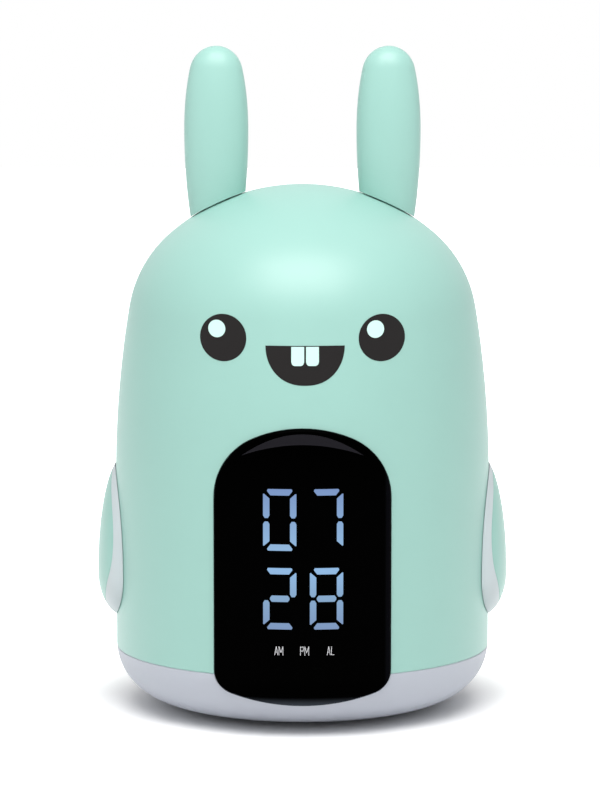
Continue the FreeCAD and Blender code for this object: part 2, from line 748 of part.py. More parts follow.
for number, (across, along) in enumerate(SIDES):
    x = d.column_place * across
    y = d.column_place * along
    column_height = d.seam_height - floor_top
    column = rod(f"column_{number}", well_radius + d.boss_wall, column_height, (x, y, floor_top))
    base_extras.append(column)
    base_holes.append(rod(f"column_hole_{number}", FREE_HOLE, FAR, (x, y, body_bottom - OVERLAP)))
    base_holes.append(rod(f"column_well_{number}", well_radius, column_head_seat, (x, y, 0)))
    post_at = (d.post_across * across, d.post_along * along)
    post_foot = (*post_at, floor_top - OVERLAP)
    post_height = d.board_height - floor_top + OVERLAP
    base_extras.append(rod(f"post_{number}", d.post_radius, post_height, post_foot))
    post_top = (*post_at, d.board_height - d.screw_bite)
    base_holes.append(rod(f"post_pilot_{number}", PILOT, FAR, post_top))
    plug_hole_at = (d.foot_across * across, d.foot_along * along, body_bottom - OVERLAP)
    plug_hole_depth = OVERLAP + d.plug_length + d.seat_gap
    plug_hole_radius = d.plug_radius + d.thread_gap
    base_holes.append(rod(f"foot_hole_{number}", plug_hole_radius, plug_hole_depth, plug_hole_at))

hinge_y = d.bay_half_length - d.slip_gap - d.knuckle_radius
hinge_z = body_bottom + d.knuckle_radius
pin_reach = d.bay_half_width + d.pin_length
pin_hole_at = (-(pin_reach + d.slip_gap * 0.5), hinge_y, hinge_z)
pin_hole_length = (pin_reach + d.slip_gap * 0.5) * 2
pin_hole_radius = d.pin_radius + d.thread_gap
base_holes.append(rod("hinge_pin_hole", pin_hole_radius, pin_hole_length, pin_hole_at, "X"))
base_full = fuse("base_full", base_low, *base_extras)
base_trimmed = common("base_trimmed", base_full, fuse("base_limit", base_outside, inner_body))
keep("base_tray", cut("base_tray", base_trimmed, *base_holes))

# Display window, its frame and the display module behind it

CORE_SHARE = 0.4
window_back = body_solid("window_back", d.lens_proud - d.lens_thickness)
window_band = cut("window_band", proud_body, window_back)
window_sharp = common("window_sharp", window_band, front_arch("window_outline", 0.0))
window_cores = (
    body_solid("window_core", d.lens_proud - d.lens_thickness * CORE_SHARE),
    front_arch("window_middle", -d.lens_edge),
)
keep("display_window", rounded_rim("display_window", window_sharp, d.lens_edge, window_cores))

frame_front = -(d.wall + d.seat_gap)
frame_band = cut(
    "frame_band",
    body_solid("frame_face", frame_front),
    body_solid("frame_back", frame_front - d.frame_wall),
)
frame_skin = common("frame_skin", frame_band, front_arch("frame_outline", d.frame_margin))
step_band = cut(
    "step_band",
    body_solid("step_face", d.lens_proud - d.lens_thickness - d.seat_gap),
    body_solid("step_back", frame_front - d.frame_wall),
)
frame_step = common("frame_step", step_band, front_arch("step_outline", -d.slip_gap))
tunnel_wall = d.bay_wall
tunnel = box(
    "tunnel",
    (-(d.module_half_width + tunnel_wall), -d.body_radius, d.module_bottom - tunnel_wall),
    (d.module_half_width + tunnel_wall, -display_board_front, d.module_top + tunnel_wall),
)
DISPLAY_POST_GAP = 2.6
DISPLAY_POST_INSET = 3.6
DISPLAY_BOARD_EDGE = 3.0
boss_across = d.module_half_width + tunnel_wall + DISPLAY_POST_GAP
display_rows = {1: d.module_top - DISPLAY_POST_INSET, -1: d.module_bottom + DISPLAY_POST_INSET}
display_posts = []
display_pilots = []
for number, (across, up) in enumerate(SIDES):
    x = boss_across * across
    z = display_rows[up]
    length = d.body_radius - display_board_front
    post_at = (x, -d.body_radius, z)
    display_posts.append(
        rod(f"display_post_{number}", PILOT + d.boss_wall, length, post_at, "Y")
    )
    pilot_at = (x, -(display_board_front + d.screw_bite - d.slip_gap), z)
    display_pilots.append(rod(f"display_pilot_{number}", PILOT, d.screw_bite, pilot_at, "Y"))
frame_full = fuse("frame_full", frame_skin, frame_step, tunnel, *display_posts)
frame_trim = body_solid("frame_trim", d.lens_proud - d.lens_thickness - d.seat_gap)
frame_solid = common("frame_solid", frame_full, frame_trim)
frame_reach = cut(
    "frame_reach",
    ring_box("frame_reach_box", -FAR, FAR * 2),
    front_arch("frame_keep", -d.slip_gap),
    body_solid("frame_keep_body", frame_front),
)
module_low = (-d.module_half_width, -d.module_front, d.module_bottom)
module_high = (d.module_half_width, -display_board_front, d.module_top)
window_low = (module_low[0] - d.seat_gap, -FAR, module_low[2] - d.seat_gap)
window_high = (
    module_high[0] + d.seat_gap,
    -display_board_front + OVERLAP,
    module_high[2] + d.seat_gap,
)
frame_window = box("frame_window", window_low, window_high)
keep("display_frame", cut("display_frame", frame_solid, frame_reach, frame_window, *display_pilots))


def segment_bars(x, z):
    """The seven bars of a digit as (centre x, centre z, lies flat)."""
    half_width = (d.digit_width - d.segment_stroke) / 2
    half_height = (d.digit_height - d.segment_stroke) / 2
    return (
        (x, z + half_height, True),
        (x, z, True),
        (x, z - half_height, True),
        (x - half_width, z + half_height / 2, False),
        (x + half_width, z + half_height / 2, False),
        (x - half_width, z - half_height / 2, False),
        (x + half_width, z - half_height / 2, False),
    )


def bar(name, flat):
    """One bar with pointed ends, about the middle of the module's face."""
    half = d.segment_stroke / 2
    span = d.digit_width / 2 if flat else (d.digit_height + d.segment_stroke) / 4
    reach = span - half - d.segment_gap
    if flat:
        shape = ((-reach, 0), (half - reach, -half), (reach - half, -half), (reach, 0))
        shape += ((reach - half, half), (half - reach, half))
    else:
        shape = ((0, -reach), (half, half - reach), (half, reach - half), (0, reach))
        shape += ((-half, reach - half), (-half, half - reach))
    corners = [(across, up, None) for across, up in shape]
    return slab(name, "XZ_Plane", corners, d.module_front - d.segment_depth, d.segment_depth)


def copied(name, source, at):
    """A copy of an object, moved."""
    item = doc.addObject("App::Link", name)
    item.LinkedObject = source
    item.LinkTransform = False
    for letter, size in zip("xyz", at):
        item.setExpression(f"Placement.Base.{letter}", as_size(size).text)
    return item


def digit_places():
    """The middle of each of the four digits, with a name."""
    for row_name, height in (("upper", d.row_upper), ("lower", d.row_lower)):
        for column_name, side in (("left", -0.5), ("right", 0.5)):
            yield f"{row_name}_{column_name}", d.digit_shift + d.digit_pitch * side, height


flat_bar = bar("flat_bar", True)
upright_bar = bar("upright_bar", False)
lit_bars = []
for digit, x, z in digit_places():
    for number, (bar_x, bar_z, flat) in enumerate(segment_bars(x, z)):
        source = flat_bar if flat else upright_bar
        lit_bars.append(copied(f"bar_{digit}_{number}", source, (bar_x, 0, bar_z)))
MARK_HALF_WIDTH = 1.2
MARK_HALF_HEIGHT = 1.3
MARK_PLACES = (-7.2, 0.8, 8.8)
for number, x in enumerate(MARK_PLACES):
    low = (x - MARK_HALF_WIDTH, -d.module_front, d.mark_row - MARK_HALF_HEIGHT)
    high = (x + MARK_HALF_WIDTH, d.segment_depth - d.module_front, d.mark_row + MARK_HALF_HEIGHT)
    lit_bars.append(box(f"mark_{number}", low, high))
keep("display_segments", group("display_segments", lit_bars))
keep("display_module", cut("display_module", box("module_block", module_low, module_high), *lit_bars))

board_half = boss_across + DISPLAY_BOARD_EDGE
display_board_box = box(
    "display_board_box",
    (-board_half, -display_board_front, d.module_bottom),
    (board_half, -display_board_front + d.board_thickness, d.module_top),
)
board_holes = []
display_screws = []
for number, (across, up) in enumerate(SIDES):
    x = boss_across * across
    z = display_rows[up]
    face = -display_board_front + d.board_thickness
    hole_at = (x, -d.body_radius, z)
    board_holes.append(rod(f"display_board_hole_{number}", FREE_HOLE, FAR, hole_at, "Y"))
    display_screws.append(
        screw(f"display_screw_{number}", (x, face, z), d.screw_bite, "Y", False)
    )
keep("display_board", cut("display_board", display_board_box, *board_holes))
keep("display_screws", group("display_screws", display_screws))

RIBBON_THICKNESS = 0.3
RIBBON_BEND = 5.0
RIBBON_WIDTH = 12.0
RIBBON_LAP = 6.0
RIBBON_END = 3.6
ribbon_back = -display_board_front + d.board_thickness
ribbon_end = -d.post_along + RIBBON_END
bend_y = ribbon_back + RIBBON_BEND
bend_z = board_top + RIBBON_BEND
inner_bend = as_size(RIBBON_BEND - RIBBON_THICKNESS)
ribbon_corners = [
    (ribbon_back, bend_z, (bend_y, bend_z, as_size(RIBBON_BEND), 1)),
    (bend_y, board_top, None),
    (ribbon_end, board_top, None),
    (ribbon_end, board_top + RIBBON_THICKNESS, None),
    (bend_y, board_top + RIBBON_THICKNESS, (bend_y, bend_z, inner_bend, -1)),
    (ribbon_back + RIBBON_THICKNESS, bend_z, None),
    (ribbon_back + RIBBON_THICKNESS, bend_z + RIBBON_LAP, None),
    (ribbon_back, bend_z + RIBBON_LAP, None),
]
ribbon = slab(
    "display_ribbon",
    "YZ_Plane",
    ribbon_corners,
    -RIBBON_WIDTH / 2,
    as_size(RIBBON_WIDTH),
)
keep("display_ribbon", ribbon)

# Ears: hollow, blunt ovals cut to the crown's curve, each with a spigot in a socket of the dome


def blunt_oval(name):
    """An ear, solid: a long ellipsoid whose upper end gives way to a blunter one. Both have
    the same width and the same slope where they meet."""
    sine_low = d.ear_tip_start / d.ear_rise
    cosine_low = root(1 - sine_low * sine_low)
    pull = d.ear_tip_height / d.ear_rise * sine_low / (cosine_low * cosine_low)
    sine_high = worked("ear_tip_sine", pull / (1 - pull))
    swell = cosine_low / root(1 - sine_high * sine_high)
    tip_rise = d.ear_tip_height / (1 - sine_high)
    centre = (d.ear_offset, 0, d.ear_height)
    tip_centre = (d.ear_offset, 0, d.ear_height + d.ear_tip_start - tip_rise * sine_high)
    halves = (d.ear_half_width, d.ear_half_depth)
    tip_halves = (d.ear_half_width * swell, d.ear_half_depth * swell, tip_rise)
    return fuse(
        name,
        zone(f"{name}_low", centre, (*halves, d.ear_drop), -90.0, 0.0),
        zone(f"{name}_long", centre, (*halves, d.ear_rise), 0.0, arc_sine(sine_low)),
        zone(f"{name}_tip", tip_centre, tip_halves, arc_sine(sine_high), 90.0),
    )


def crown_cylinder(name, grow):
    """A cylinder along Y that follows the crown's curve seen from the front."""
    return rod(name, crown_bend + grow, FAR * 2, (0, -FAR, crown_centre), "Y")


def tall_spigot(name, radius, low, high):
    return rod(name, radius, high - low, (d.ear_offset, 0, low))


ear_skin = cut("ear_skin", blunt_oval("ear_outside"), crown_cylinder("ear_seat", d.ear_gap))
ear_inside = tall_oval(
    "ear_inside",
    (d.ear_offset, 0, d.ear_height),
    d.ear_half_width - d.ear_wall,
    d.ear_half_depth - d.ear_wall,
    d.ear_tip_start + d.ear_tip_height - d.ear_wall,
    d.ear_drop - d.ear_wall,
)
ear_room = cut(
    "ear_room",
    ear_inside,
    crown_cylinder("ear_floor", d.ear_gap + d.ear_wall),
    tall_spigot("ear_core", d.spigot_radius, socket_floor, crown_at_ear + d.screw_bite),
)
ear_hollow = cut("ear_hollow", ear_skin, ear_room)
spigot_low = socket_floor + d.seat_gap
ear_whole = fuse(
    "ear_whole",
    ear_hollow,
    tall_spigot("ear_spigot", d.spigot_radius, spigot_low, crown_at_ear + d.screw_bite / 2),
)
pilot_top = socket_floor + d.screw_bite + d.seat_gap
ear_pilot = tall_spigot("ear_pilot", PILOT, spigot_low - OVERLAP, pilot_top + OVERLAP)
ear_right = keep("ear_right", cut("ear_right", ear_whole, ear_pilot))
keep("ear_left", mirrored("ear_left", ear_right))
ear_screws = []
for tag, side in (("right", 1), ("left", -1)):
    seat = (d.ear_offset * side, 0, socket_floor - d.wall)
    ear_screws.append(screw(f"ear_screw_{tag}", seat, d.screw_bite + d.wall))
keep("ear_screws", group("ear_screws", ear_screws))

# Paws: a ring outside the dome, held by a collar in its hole, and a key that slides in it


def paw_oval(name):
    centre = (d.paw_centre, 0, d.paw_height)
    return tall_oval(name, centre, d.paw_bulge, d.paw_half_width, d.paw_rise, d.paw_drop)


paw_blank = paw_oval("paw_blank")
paw_seat = rod("paw_seat", d.body_radius + d.seat_gap, FAR * 2, (0, 0, -FAR))
ring_hole = egg("ring_hole", d.slip_gap, d.paw_board_place, key_hole_length)
ring_shell = cut("ring_shell", paw_blank, paw_seat, ring_hole)
collar_start = key_flange_front + d.slip_gap
collar_grow = d.slip_gap + d.collar_wall
collar_blank = egg("collar_blank", collar_grow, collar_start, as_size(FAR) - collar_start)
collar_limit = rod(
    "collar_limit",
    d.body_radius + d.seat_gap + d.slip_gap,
    FAR * 2,
    (0, 0, -FAR),
)
collar = cut("paw_collar", common("collar_length", collar_blank, collar_limit), ring_hole)
ring_right = keep("paw_ring_right", fuse("paw_ring_right", ring_shell, collar))
keep("paw_ring_left", mirrored("paw_ring_left", ring_right))

flange_back = key_flange_front - d.key_flange_thickness
key_ceiling = d.paw_centre + d.key_ceiling
key_column = egg("key_column", as_size(0.0), flange_back, as_size(FAR) - flange_back)
key_base = egg("key_base", as_size(0.0), flange_back, key_ceiling - flange_back)
key_block = fuse("key_block", common("key_dome", key_column, paw_blank), key_base)
key_hollow = egg(
    "key_hollow",
    -d.key_wall,
    flange_back - OVERLAP,
    key_ceiling - flange_back + OVERLAP,
)
key_cap = cut("key_cap", key_block, key_hollow)
flange_disc = egg("flange_disc", d.key_flange, flange_back, d.key_flange_thickness)
flange_hole = egg(
    "flange_hole",
    -d.key_wall,
    flange_back - OVERLAP,
    d.key_flange_thickness + OVERLAP * 2,
)
key_rim = cut("key_rim", flange_disc, flange_hole)
stem_tip = paw_plunger_tip + d.key_travel + d.thread_gap * 2
stem_length = key_ceiling - stem_tip + OVERLAP
key_stem = rod("key_stem", d.stem_radius, stem_length, (stem_tip, 0, d.key_axis), "X")
key_right = keep("paw_key_right", fuse("paw_key_right", key_cap, key_rim, key_stem))
keep("paw_key_left", mirrored("paw_key_left", key_right))

spring_start = paw_board_face + d.spring_wire / 2
spring_length = key_ceiling - paw_board_face - d.spring_wire
pitch = spring_length / d.spring_turns
helix = doc.addObject("Part::Helix", "spring_path")
helix.SegmentLength = 1
bind(helix, Pitch=pitch, Height=spring_length, Radius=d.spring_radius)
put(helix, (spring_start, 0, d.key_axis), TURNS["X"])
wire = doc.addObject("Part::Circle", "spring_section")
bind(wire, Radius=d.spring_wire / 2)
put(wire, (spring_start, 0, d.key_axis - d.spring_radius), FreeCAD.Rotation(V(1, 0, 0), 90))
spring_right = doc.addObject("Part::Sweep", "paw_spring_right")
spring_right.Sections = [wire]
spring_right.Spine = (helix, [])
spring_right.Solid = True
spring_right.Frenet = True
keep("paw_spring_right", spring_right)
spring_left = copied("paw_spring_left", spring_right, (0, 0, 0))
spring_left.Placement = FreeCAD.Placement(V(0, 0, 0), FreeCAD.Rotation(V(0, 0, 1), 180))
keep("paw_spring_left", spring_left)

paw_board_half_width = paw_post_place + PILOT + d.boss_wall
paw_board_half_height = d.spring_radius + d.spring_wire + d.wall
paw_board_blank = box(
    "paw_board_blank",
    (d.paw_board_place, -paw_board_half_width, d.key_axis - paw_board_half_height),
    (paw_board_face, paw_board_half_width, d.key_axis + paw_board_half_height),
)
paw_board_holes = []
paw_screw_parts = []
for tag, side in (("front", -1), ("back", 1)):
    across = paw_post_place * side
    hole_at = (d.paw_board_place - OVERLAP, across, d.key_axis)
    hole_length = d.board_thickness + OVERLAP * 2
    paw_board_holes.append(rod(f"paw_board_hole_{tag}", FREE_HOLE, hole_length, hole_at, "X"))
    seat = (d.paw_board_place, across, d.key_axis)
    paw_screw_parts.append(screw(f"paw_screw_{tag}", seat, d.screw_bite, "X"))
paw_board = keep("paw_board_right", cut("paw_board_right", paw_board_blank, *paw_board_holes))
keep("paw_board_left", mirrored("paw_board_left", paw_board))
paw_screws_right = group("paw_screws_right", paw_screw_parts)
paw_screws_left = mirrored("paw_screws_left", paw_screws_right)
keep("paw_screws", group("paw_screws", [paw_screws_right, paw_screws_left]))
switch_half = d.switch_width / 2
paw_switch_body = box(
    "paw_switch_body",
    (paw_board_face, -switch_half, d.key_axis - switch_half),
    (paw_board_face + d.switch_height, switch_half, d.key_axis + switch_half),
)
plunger_at = (paw_board_face + d.switch_height, 0, d.key_axis)
paw_plunger = rod("paw_plunger", d.plunger_radius, d.plunger_height, plunger_at, "X")
paw_switch = fuse("paw_switch", paw_switch_body, paw_plunger)
keep("paw_switches", group("paw_switches", [paw_switch, mirrored("paw_switch_left", paw_switch)]))

# Rear panel with its grille, buttons, alarm switch and power socket

BUTTONS = (
    ("set_button", -1.0, d.button_row_low),
    ("alarm_button", 0.0, d.button_row_low),
    ("light_button", 1.0, d.button_row_low),
    ("down_button", -0.5, d.button_row_high),
    ("up_button", 0.5, d.button_row_high),
)
panel_block = common("panel_block", proud_body, rear_arch("panel_outline", 0.0, d.rear_seat))
panel_posts = []
panel_pilots = []
REAR_POSTS = (
    (-1, 4.8, d.button_row_low, -9.0),
    (1, 4.8, d.button_row_low, -7.0),
    (-1, 3.5, d.button_row_high, -1.5),
    (1, 3.5, d.button_row_high, -1.5),
)
board_posts = []
for side, reach, button_row, lift in REAR_POSTS:
    board_posts.append(((d.button_spacing + reach) * side, button_row + lift))
rear_post_length = d.rear_seat - rear_board_face + OVERLAP
rear_post_radius = PILOT + d.bay_wall / 2
for number, (x, z) in enumerate(board_posts):
    post_at = (x, rear_board_face, z)
    panel_posts.append(
        rod(f"rear_post_{number}", rear_post_radius, rear_post_length, post_at, "Y")
    )
    panel_pilots.append(rod(f"rear_pilot_{number}", PILOT, d.screw_bite, post_at, "Y"))
panel_holes = [rear_arch("panel_recess", -d.rear_rim, d.rear_floor)]
for name, share, z in BUTTONS:
    at = (d.button_spacing * share, d.rear_seat - OVERLAP, z)
    panel_holes.append(rod(f"{name}_hole", d.button_radius + d.seat_gap, as_size(FAR), at, "Y"))
slot_half = (d.slider_width + d.slider_travel) / 2 + d.slip_gap
slot_half_height = d.slider_thickness / 2 + d.slip_gap
slot_low = (d.slider_place - slot_half, d.rear_seat - OVERLAP, d.slider_row - slot_half_height)
slot_high = (d.slider_place + slot_half, FAR, d.slider_row + slot_half_height)
panel_holes.append(box("slider_slot", slot_low, slot_high))
jack_collar = d.jack_bore + d.boss_wall
jack_hole_at = (d.jack_place, d.rear_seat - OVERLAP, d.jack_row)
panel_holes.append(rod("jack_hole", jack_collar + d.seat_gap, as_size(FAR), jack_hole_at, "Y"))
GRILLE_RINGS = ((0.0, 1), (3.2, 6), (6.4, 12))
for ring, (ring_radius, count) in enumerate(GRILLE_RINGS):
    for number in range(count):
        angle = 2 * math.pi * number / count
        x = d.speaker_place + ring_radius * math.cos(angle)
        z = d.speaker_row + ring_radius * math.sin(angle)
        hole_at = (x, d.rear_seat - OVERLAP, z)
        hole = rod(f"grille_{ring}_{number}", d.grille_hole, as_size(FAR), hole_at, "Y")
        panel_holes.append(hole)
rear_screw_parts = []
for tag, x, z in rear_screws:
    hole_at = (x, d.rear_seat - OVERLAP, z)
    panel_holes.append(rod(f"panel_screw_hole_{tag}", FREE_HOLE, as_size(FAR), hole_at, "Y"))
    well_at = (x, d.rear_floor - d.screw_head_height, z)
    panel_holes.append(rod(f"panel_screw_well_{tag}", well_radius, as_size(FAR), well_at, "Y"))
    bite = d.rear_floor - d.screw_head_height - d.rear_seat + LUG_DEPTH
    rear_screw_parts.append(screw(f"rear_screw_{tag}", well_at, bite, "Y", False))
panel_full = fuse("panel_full", panel_block, *panel_posts)
keep("rear_panel", cut("rear_panel", panel_full, *panel_holes, *panel_pilots))
keep("rear_panel_screws", group("rear_panel_screws", rear_screw_parts))

BOARD_EDGE = 1.0
rear_board_back = rear_board_face - d.board_thickness
rear_board_half = d.rear_half_width - d.rear_rim
rear_board_blank = box(
    "rear_board_blank",
    (-rear_board_half, rear_board_back, d.slider_row - d.slider_thickness - BOARD_EDGE),
    (rear_board_half, rear_board_face, d.button_row_high + d.switch_width),
)
rear_board_holes = []
rear_board_screws = []
for number, (x, z) in enumerate(board_posts):
    hole_at = (x, rear_board_back - OVERLAP, z)
    hole_length = d.board_thickness + OVERLAP * 2
    rear_board_holes.append(
        rod(f"rear_board_hole_{number}", FREE_HOLE, hole_length, hole_at, "Y")
    )
    seat = (x, rear_board_back, z)
    rear_board_screws.append(screw(f"rear_board_screw_{number}", seat, d.screw_bite, "Y"))
keep("rear_board", cut("rear_board", rear_board_blank, *rear_board_holes))
keep("rear_board_screws", group("rear_board_screws", rear_board_screws))
rear_switches = []
for name, share, z in BUTTONS:
    x = d.button_spacing * share
    flange_radius = d.button_radius + d.button_rim
    flange_at = (x, button_flange_back, z)
    flange = rod(f"{name}_flange", flange_radius, d.key_flange_thickness, flange_at, "Y")
    cap_length = d.rear_floor + d.button_proud - button_flange_back
    cap = rod(f"{name}_cap", d.button_radius, cap_length, flange_at, "Y")
    keep(name, fuse(name, flange, cap))
    low = (x - switch_half, rear_board_face, z - switch_half)
    high = (x + switch_half, rear_board_face + d.switch_height, z + switch_half)
    body = box(f"{name}_switch_body", low, high)
    tip_at = (x, rear_board_face + d.switch_height, z)
    tip = rod(f"{name}_switch_tip", d.plunger_radius, d.plunger_height, tip_at, "Y")
    rear_switches.append(fuse(f"{name}_switch", body, tip))
keep("rear_switches", group("rear_switches", rear_switches))

slider_body_half = slot_half + d.boss_wall
slider_body_half_height = slot_half_height + d.boss_wall
slider_back = rear_board_face + d.switch_height
slider_body_block = box(
    "slider_body_block",
    (d.slider_place - slider_body_half, rear_board_face, d.slider_row - slider_body_half_height),
    (
        d.slider_place + slider_body_half,
        d.rear_seat - d.seat_gap,
        d.slider_row + slider_body_half_height,
    ),
)
slider_room = box(
    "slider_room",
    (slot_low[0], slider_back - d.thread_gap * 2, slot_low[2]),
    slot_high,
)
keep("alarm_switch_body", cut("alarm_switch_body", slider_body_block, slider_room))
knob_left = d.slider_place - slot_half + d.slip_gap
knob_low = (knob_left, slider_back, d.slider_row - d.slider_thickness / 2)
knob_high = (
    knob_left + d.slider_width,
    d.rear_floor + d.button_proud,
    d.slider_row + d.slider_thickness / 2,
)
keep("alarm_switch_knob", box("alarm_switch_knob", knob_low, knob_high))

jack_front = d.rear_floor + d.slip_gap
jack_half = jack_collar + d.slip_gap
jack_block = box(
    "jack_block",
    (d.jack_place - jack_half, jack_front - d.jack_depth - d.wall, d.jack_row - jack_half),
    (d.jack_place + jack_half, d.rear_seat, d.jack_row + jack_half),
)
jack_nose_at = (d.jack_place, jack_front - d.jack_depth - OVERLAP, d.jack_row)
jack_nose = rod("jack_nose", jack_collar, d.jack_depth + OVERLAP, jack_nose_at, "Y")
jack_bore_at = (d.jack_place, jack_front - d.jack_depth, d.jack_row)
jack_bore = rod("jack_bore", d.jack_bore, d.jack_depth + OVERLAP, jack_bore_at, "Y")
keep("power_socket", cut("power_socket", fuse("jack_body", jack_block, jack_nose), jack_bore))
socket_pin = rod("power_socket_pin", d.jack_pin, d.jack_depth - d.jack_pin * 2, jack_bore_at, "Y")
keep("power_socket_pin", socket_pin)

# Speaker behind the grille

SPEAKER_LEDGE = 1.0
SPEAKER_NECK = 3.0
MAGNET_RADIUS = 6.0
MAGNET_DEPTH = 4.0
speaker_at = (d.speaker_place, d.rear_seat, d.speaker_row)


def speaker_rod(name, radius, near, far):
    """A cylinder about the speaker's axis, between two depths behind the panel."""
    at = (speaker_at[0], speaker_at[1] - far, speaker_at[2])
    return rod(name, radius, far - near, at, "Y")


speaker_depth = d.boss_wall * 3
basket = fuse(
    "speaker_basket",
    speaker_rod("speaker_flange", d.speaker_radius, as_size(0.0), d.boss_wall),
    speaker_rod("speaker_cup", d.speaker_radius - SPEAKER_LEDGE, as_size(0.0), speaker_depth),
)
cone_front_radius = d.speaker_radius - d.boss_wall
basket_room = speaker_rod(
    "speaker_room",
    cone_front_radius,
    as_size(-OVERLAP),
    d.boss_wall * 2,
)
keep("speaker_frame", cut("speaker_frame", basket, basket_room))
cone_back = (speaker_at[0], speaker_at[1] - d.boss_wall * 2, speaker_at[2])
cone_depth = d.boss_wall * 2 - d.slip_gap
cone_solid = cone("cone_solid", SPEAKER_NECK, cone_front_radius, cone_depth, cone_back, "Y")
cone_room_at = (cone_back[0], cone_back[1] + d.slip_gap, cone_back[2])
cone_room = cone("cone_room", SPEAKER_NECK, cone_front_radius, cone_depth, cone_room_at, "Y")
keep("speaker_cone", cut("speaker_cone", cone_solid, cone_room))
magnet_end = speaker_depth + MAGNET_DEPTH
keep("speaker_magnet", speaker_rod("speaker_magnet", MAGNET_RADIUS, speaker_depth, magnet_end))

# Battery bay: cells, contacts and the hinged door

CONTACT_THICKNESS = 0.4
CONTACT_INSET = 1.0
cell_height = body_bottom + d.door_thickness + d.slip_gap + d.battery_radius
cell_end = d.battery_length / 2
plate_half = d.battery_radius - CONTACT_INSET
cells = []
contacts = []
for number in (-1, 0, 1):
    x = (d.battery_radius * 2 + d.slip_gap) * number
    cell_at = (x, -cell_end, cell_height)
    cells.append(rod(f"cell_{number + 1}", d.battery_radius, d.battery_length, cell_at, "Y"))
    for side in (1, -1):
        tag = f"{number + 1}_{side + 1}"
        stub_length = d.bay_half_length - cell_end
        stub_start = cell_end if side > 0 else -d.bay_half_length
        stub_at = (x, stub_start, cell_height)
        stub = rod(f"contact_stub_{tag}", plate_half / 2, stub_length, stub_at, "Y")
        back = d.bay_half_length - CONTACT_THICKNESS
        plate_at = back if side > 0 else -d.bay_half_length
        low = (x - plate_half, plate_at, cell_height - plate_half)
        high = (x + plate_half, plate_at + CONTACT_THICKNESS, cell_height + plate_half)
        plate = box(f"contact_plate_{tag}", low, high)
        contacts.append(fuse(f"contact_{tag}", plate, stub))
keep("battery_cells", group("battery_cells", cells))
keep("battery_contacts", group("battery_contacts", contacts))

door_half_width = d.bay_half_width - d.slip_gap
door_low = (-door_half_width, -(d.bay_half_length - d.slip_gap), body_bottom)
door_high = (door_half_width, hinge_y, body_bottom + d.door_thickness)
door_plate = box("door_plate", door_low, door_high)
knuckle_at = (-door_half_width, hinge_y, hinge_z)
knuckle = rod("door_knuckle", d.knuckle_radius, door_half_width * 2, knuckle_at, "X")
pins = rod("door_pins", d.pin_radius, pin_reach * 2, (-pin_reach, hinge_y, hinge_z), "X")
NOTCH_RADIUS = 5.0
NOTCH_INSET = 4.0
NOTCH_SHARE = 0.4
notch_at = (0, door_low[1] + NOTCH_INSET, body_bottom - d.door_thickness * NOTCH_SHARE)
finger_notch = rod("finger_notch", NOTCH_RADIUS, d.door_thickness, notch_at)
door_full = fuse("door_full", door_plate, knuckle, pins)
keep("battery_door", cut("battery_door", door_full, finger_notch))

# Feet, case screws and the caps that close the screws' wells flush with the bowl

feet = []
case_screws = []
cap_rods = []
cap_back = body_solid("cap_back", -d.cap_thickness)
cap_skin = cut("cap_skin", outer_body, cap_back)
cap_radius = well_radius - d.thread_gap * 2
cap_reach = column_head_seat - d.screw_head_height - d.slip_gap
for number, (across, along) in enumerate(SIDES):
    x = d.foot_across * across
    y = d.foot_along * along
    pad = rod(f"foot_pad_{number}", d.foot_radius, body_bottom, (x, y, 0))
    plug = rod(f"foot_plug_{number}", d.plug_radius, d.plug_length, (x, y, body_bottom))
    feet.append(fuse(f"foot_{number}", pad, plug))
    seat = (d.column_place * across, d.column_place * along, column_head_seat)
    screw_length = d.seam_height - column_head_seat + d.screw_bite
    case_screws.append(screw(f"case_screw_{number}", seat, screw_length))
    cap_rods.append(rod(f"cap_rod_{number}", cap_radius, cap_reach, (seat[0], seat[1], 0)))
keep("rubber_feet", group("rubber_feet", feet))
keep("case_screws", group("case_screws", case_screws))
keep("screw_caps", common("screw_caps", cap_skin, fuse("cap_rods", *cap_rods)))

# Main board on the base's posts, with the light frame screwed on top of it

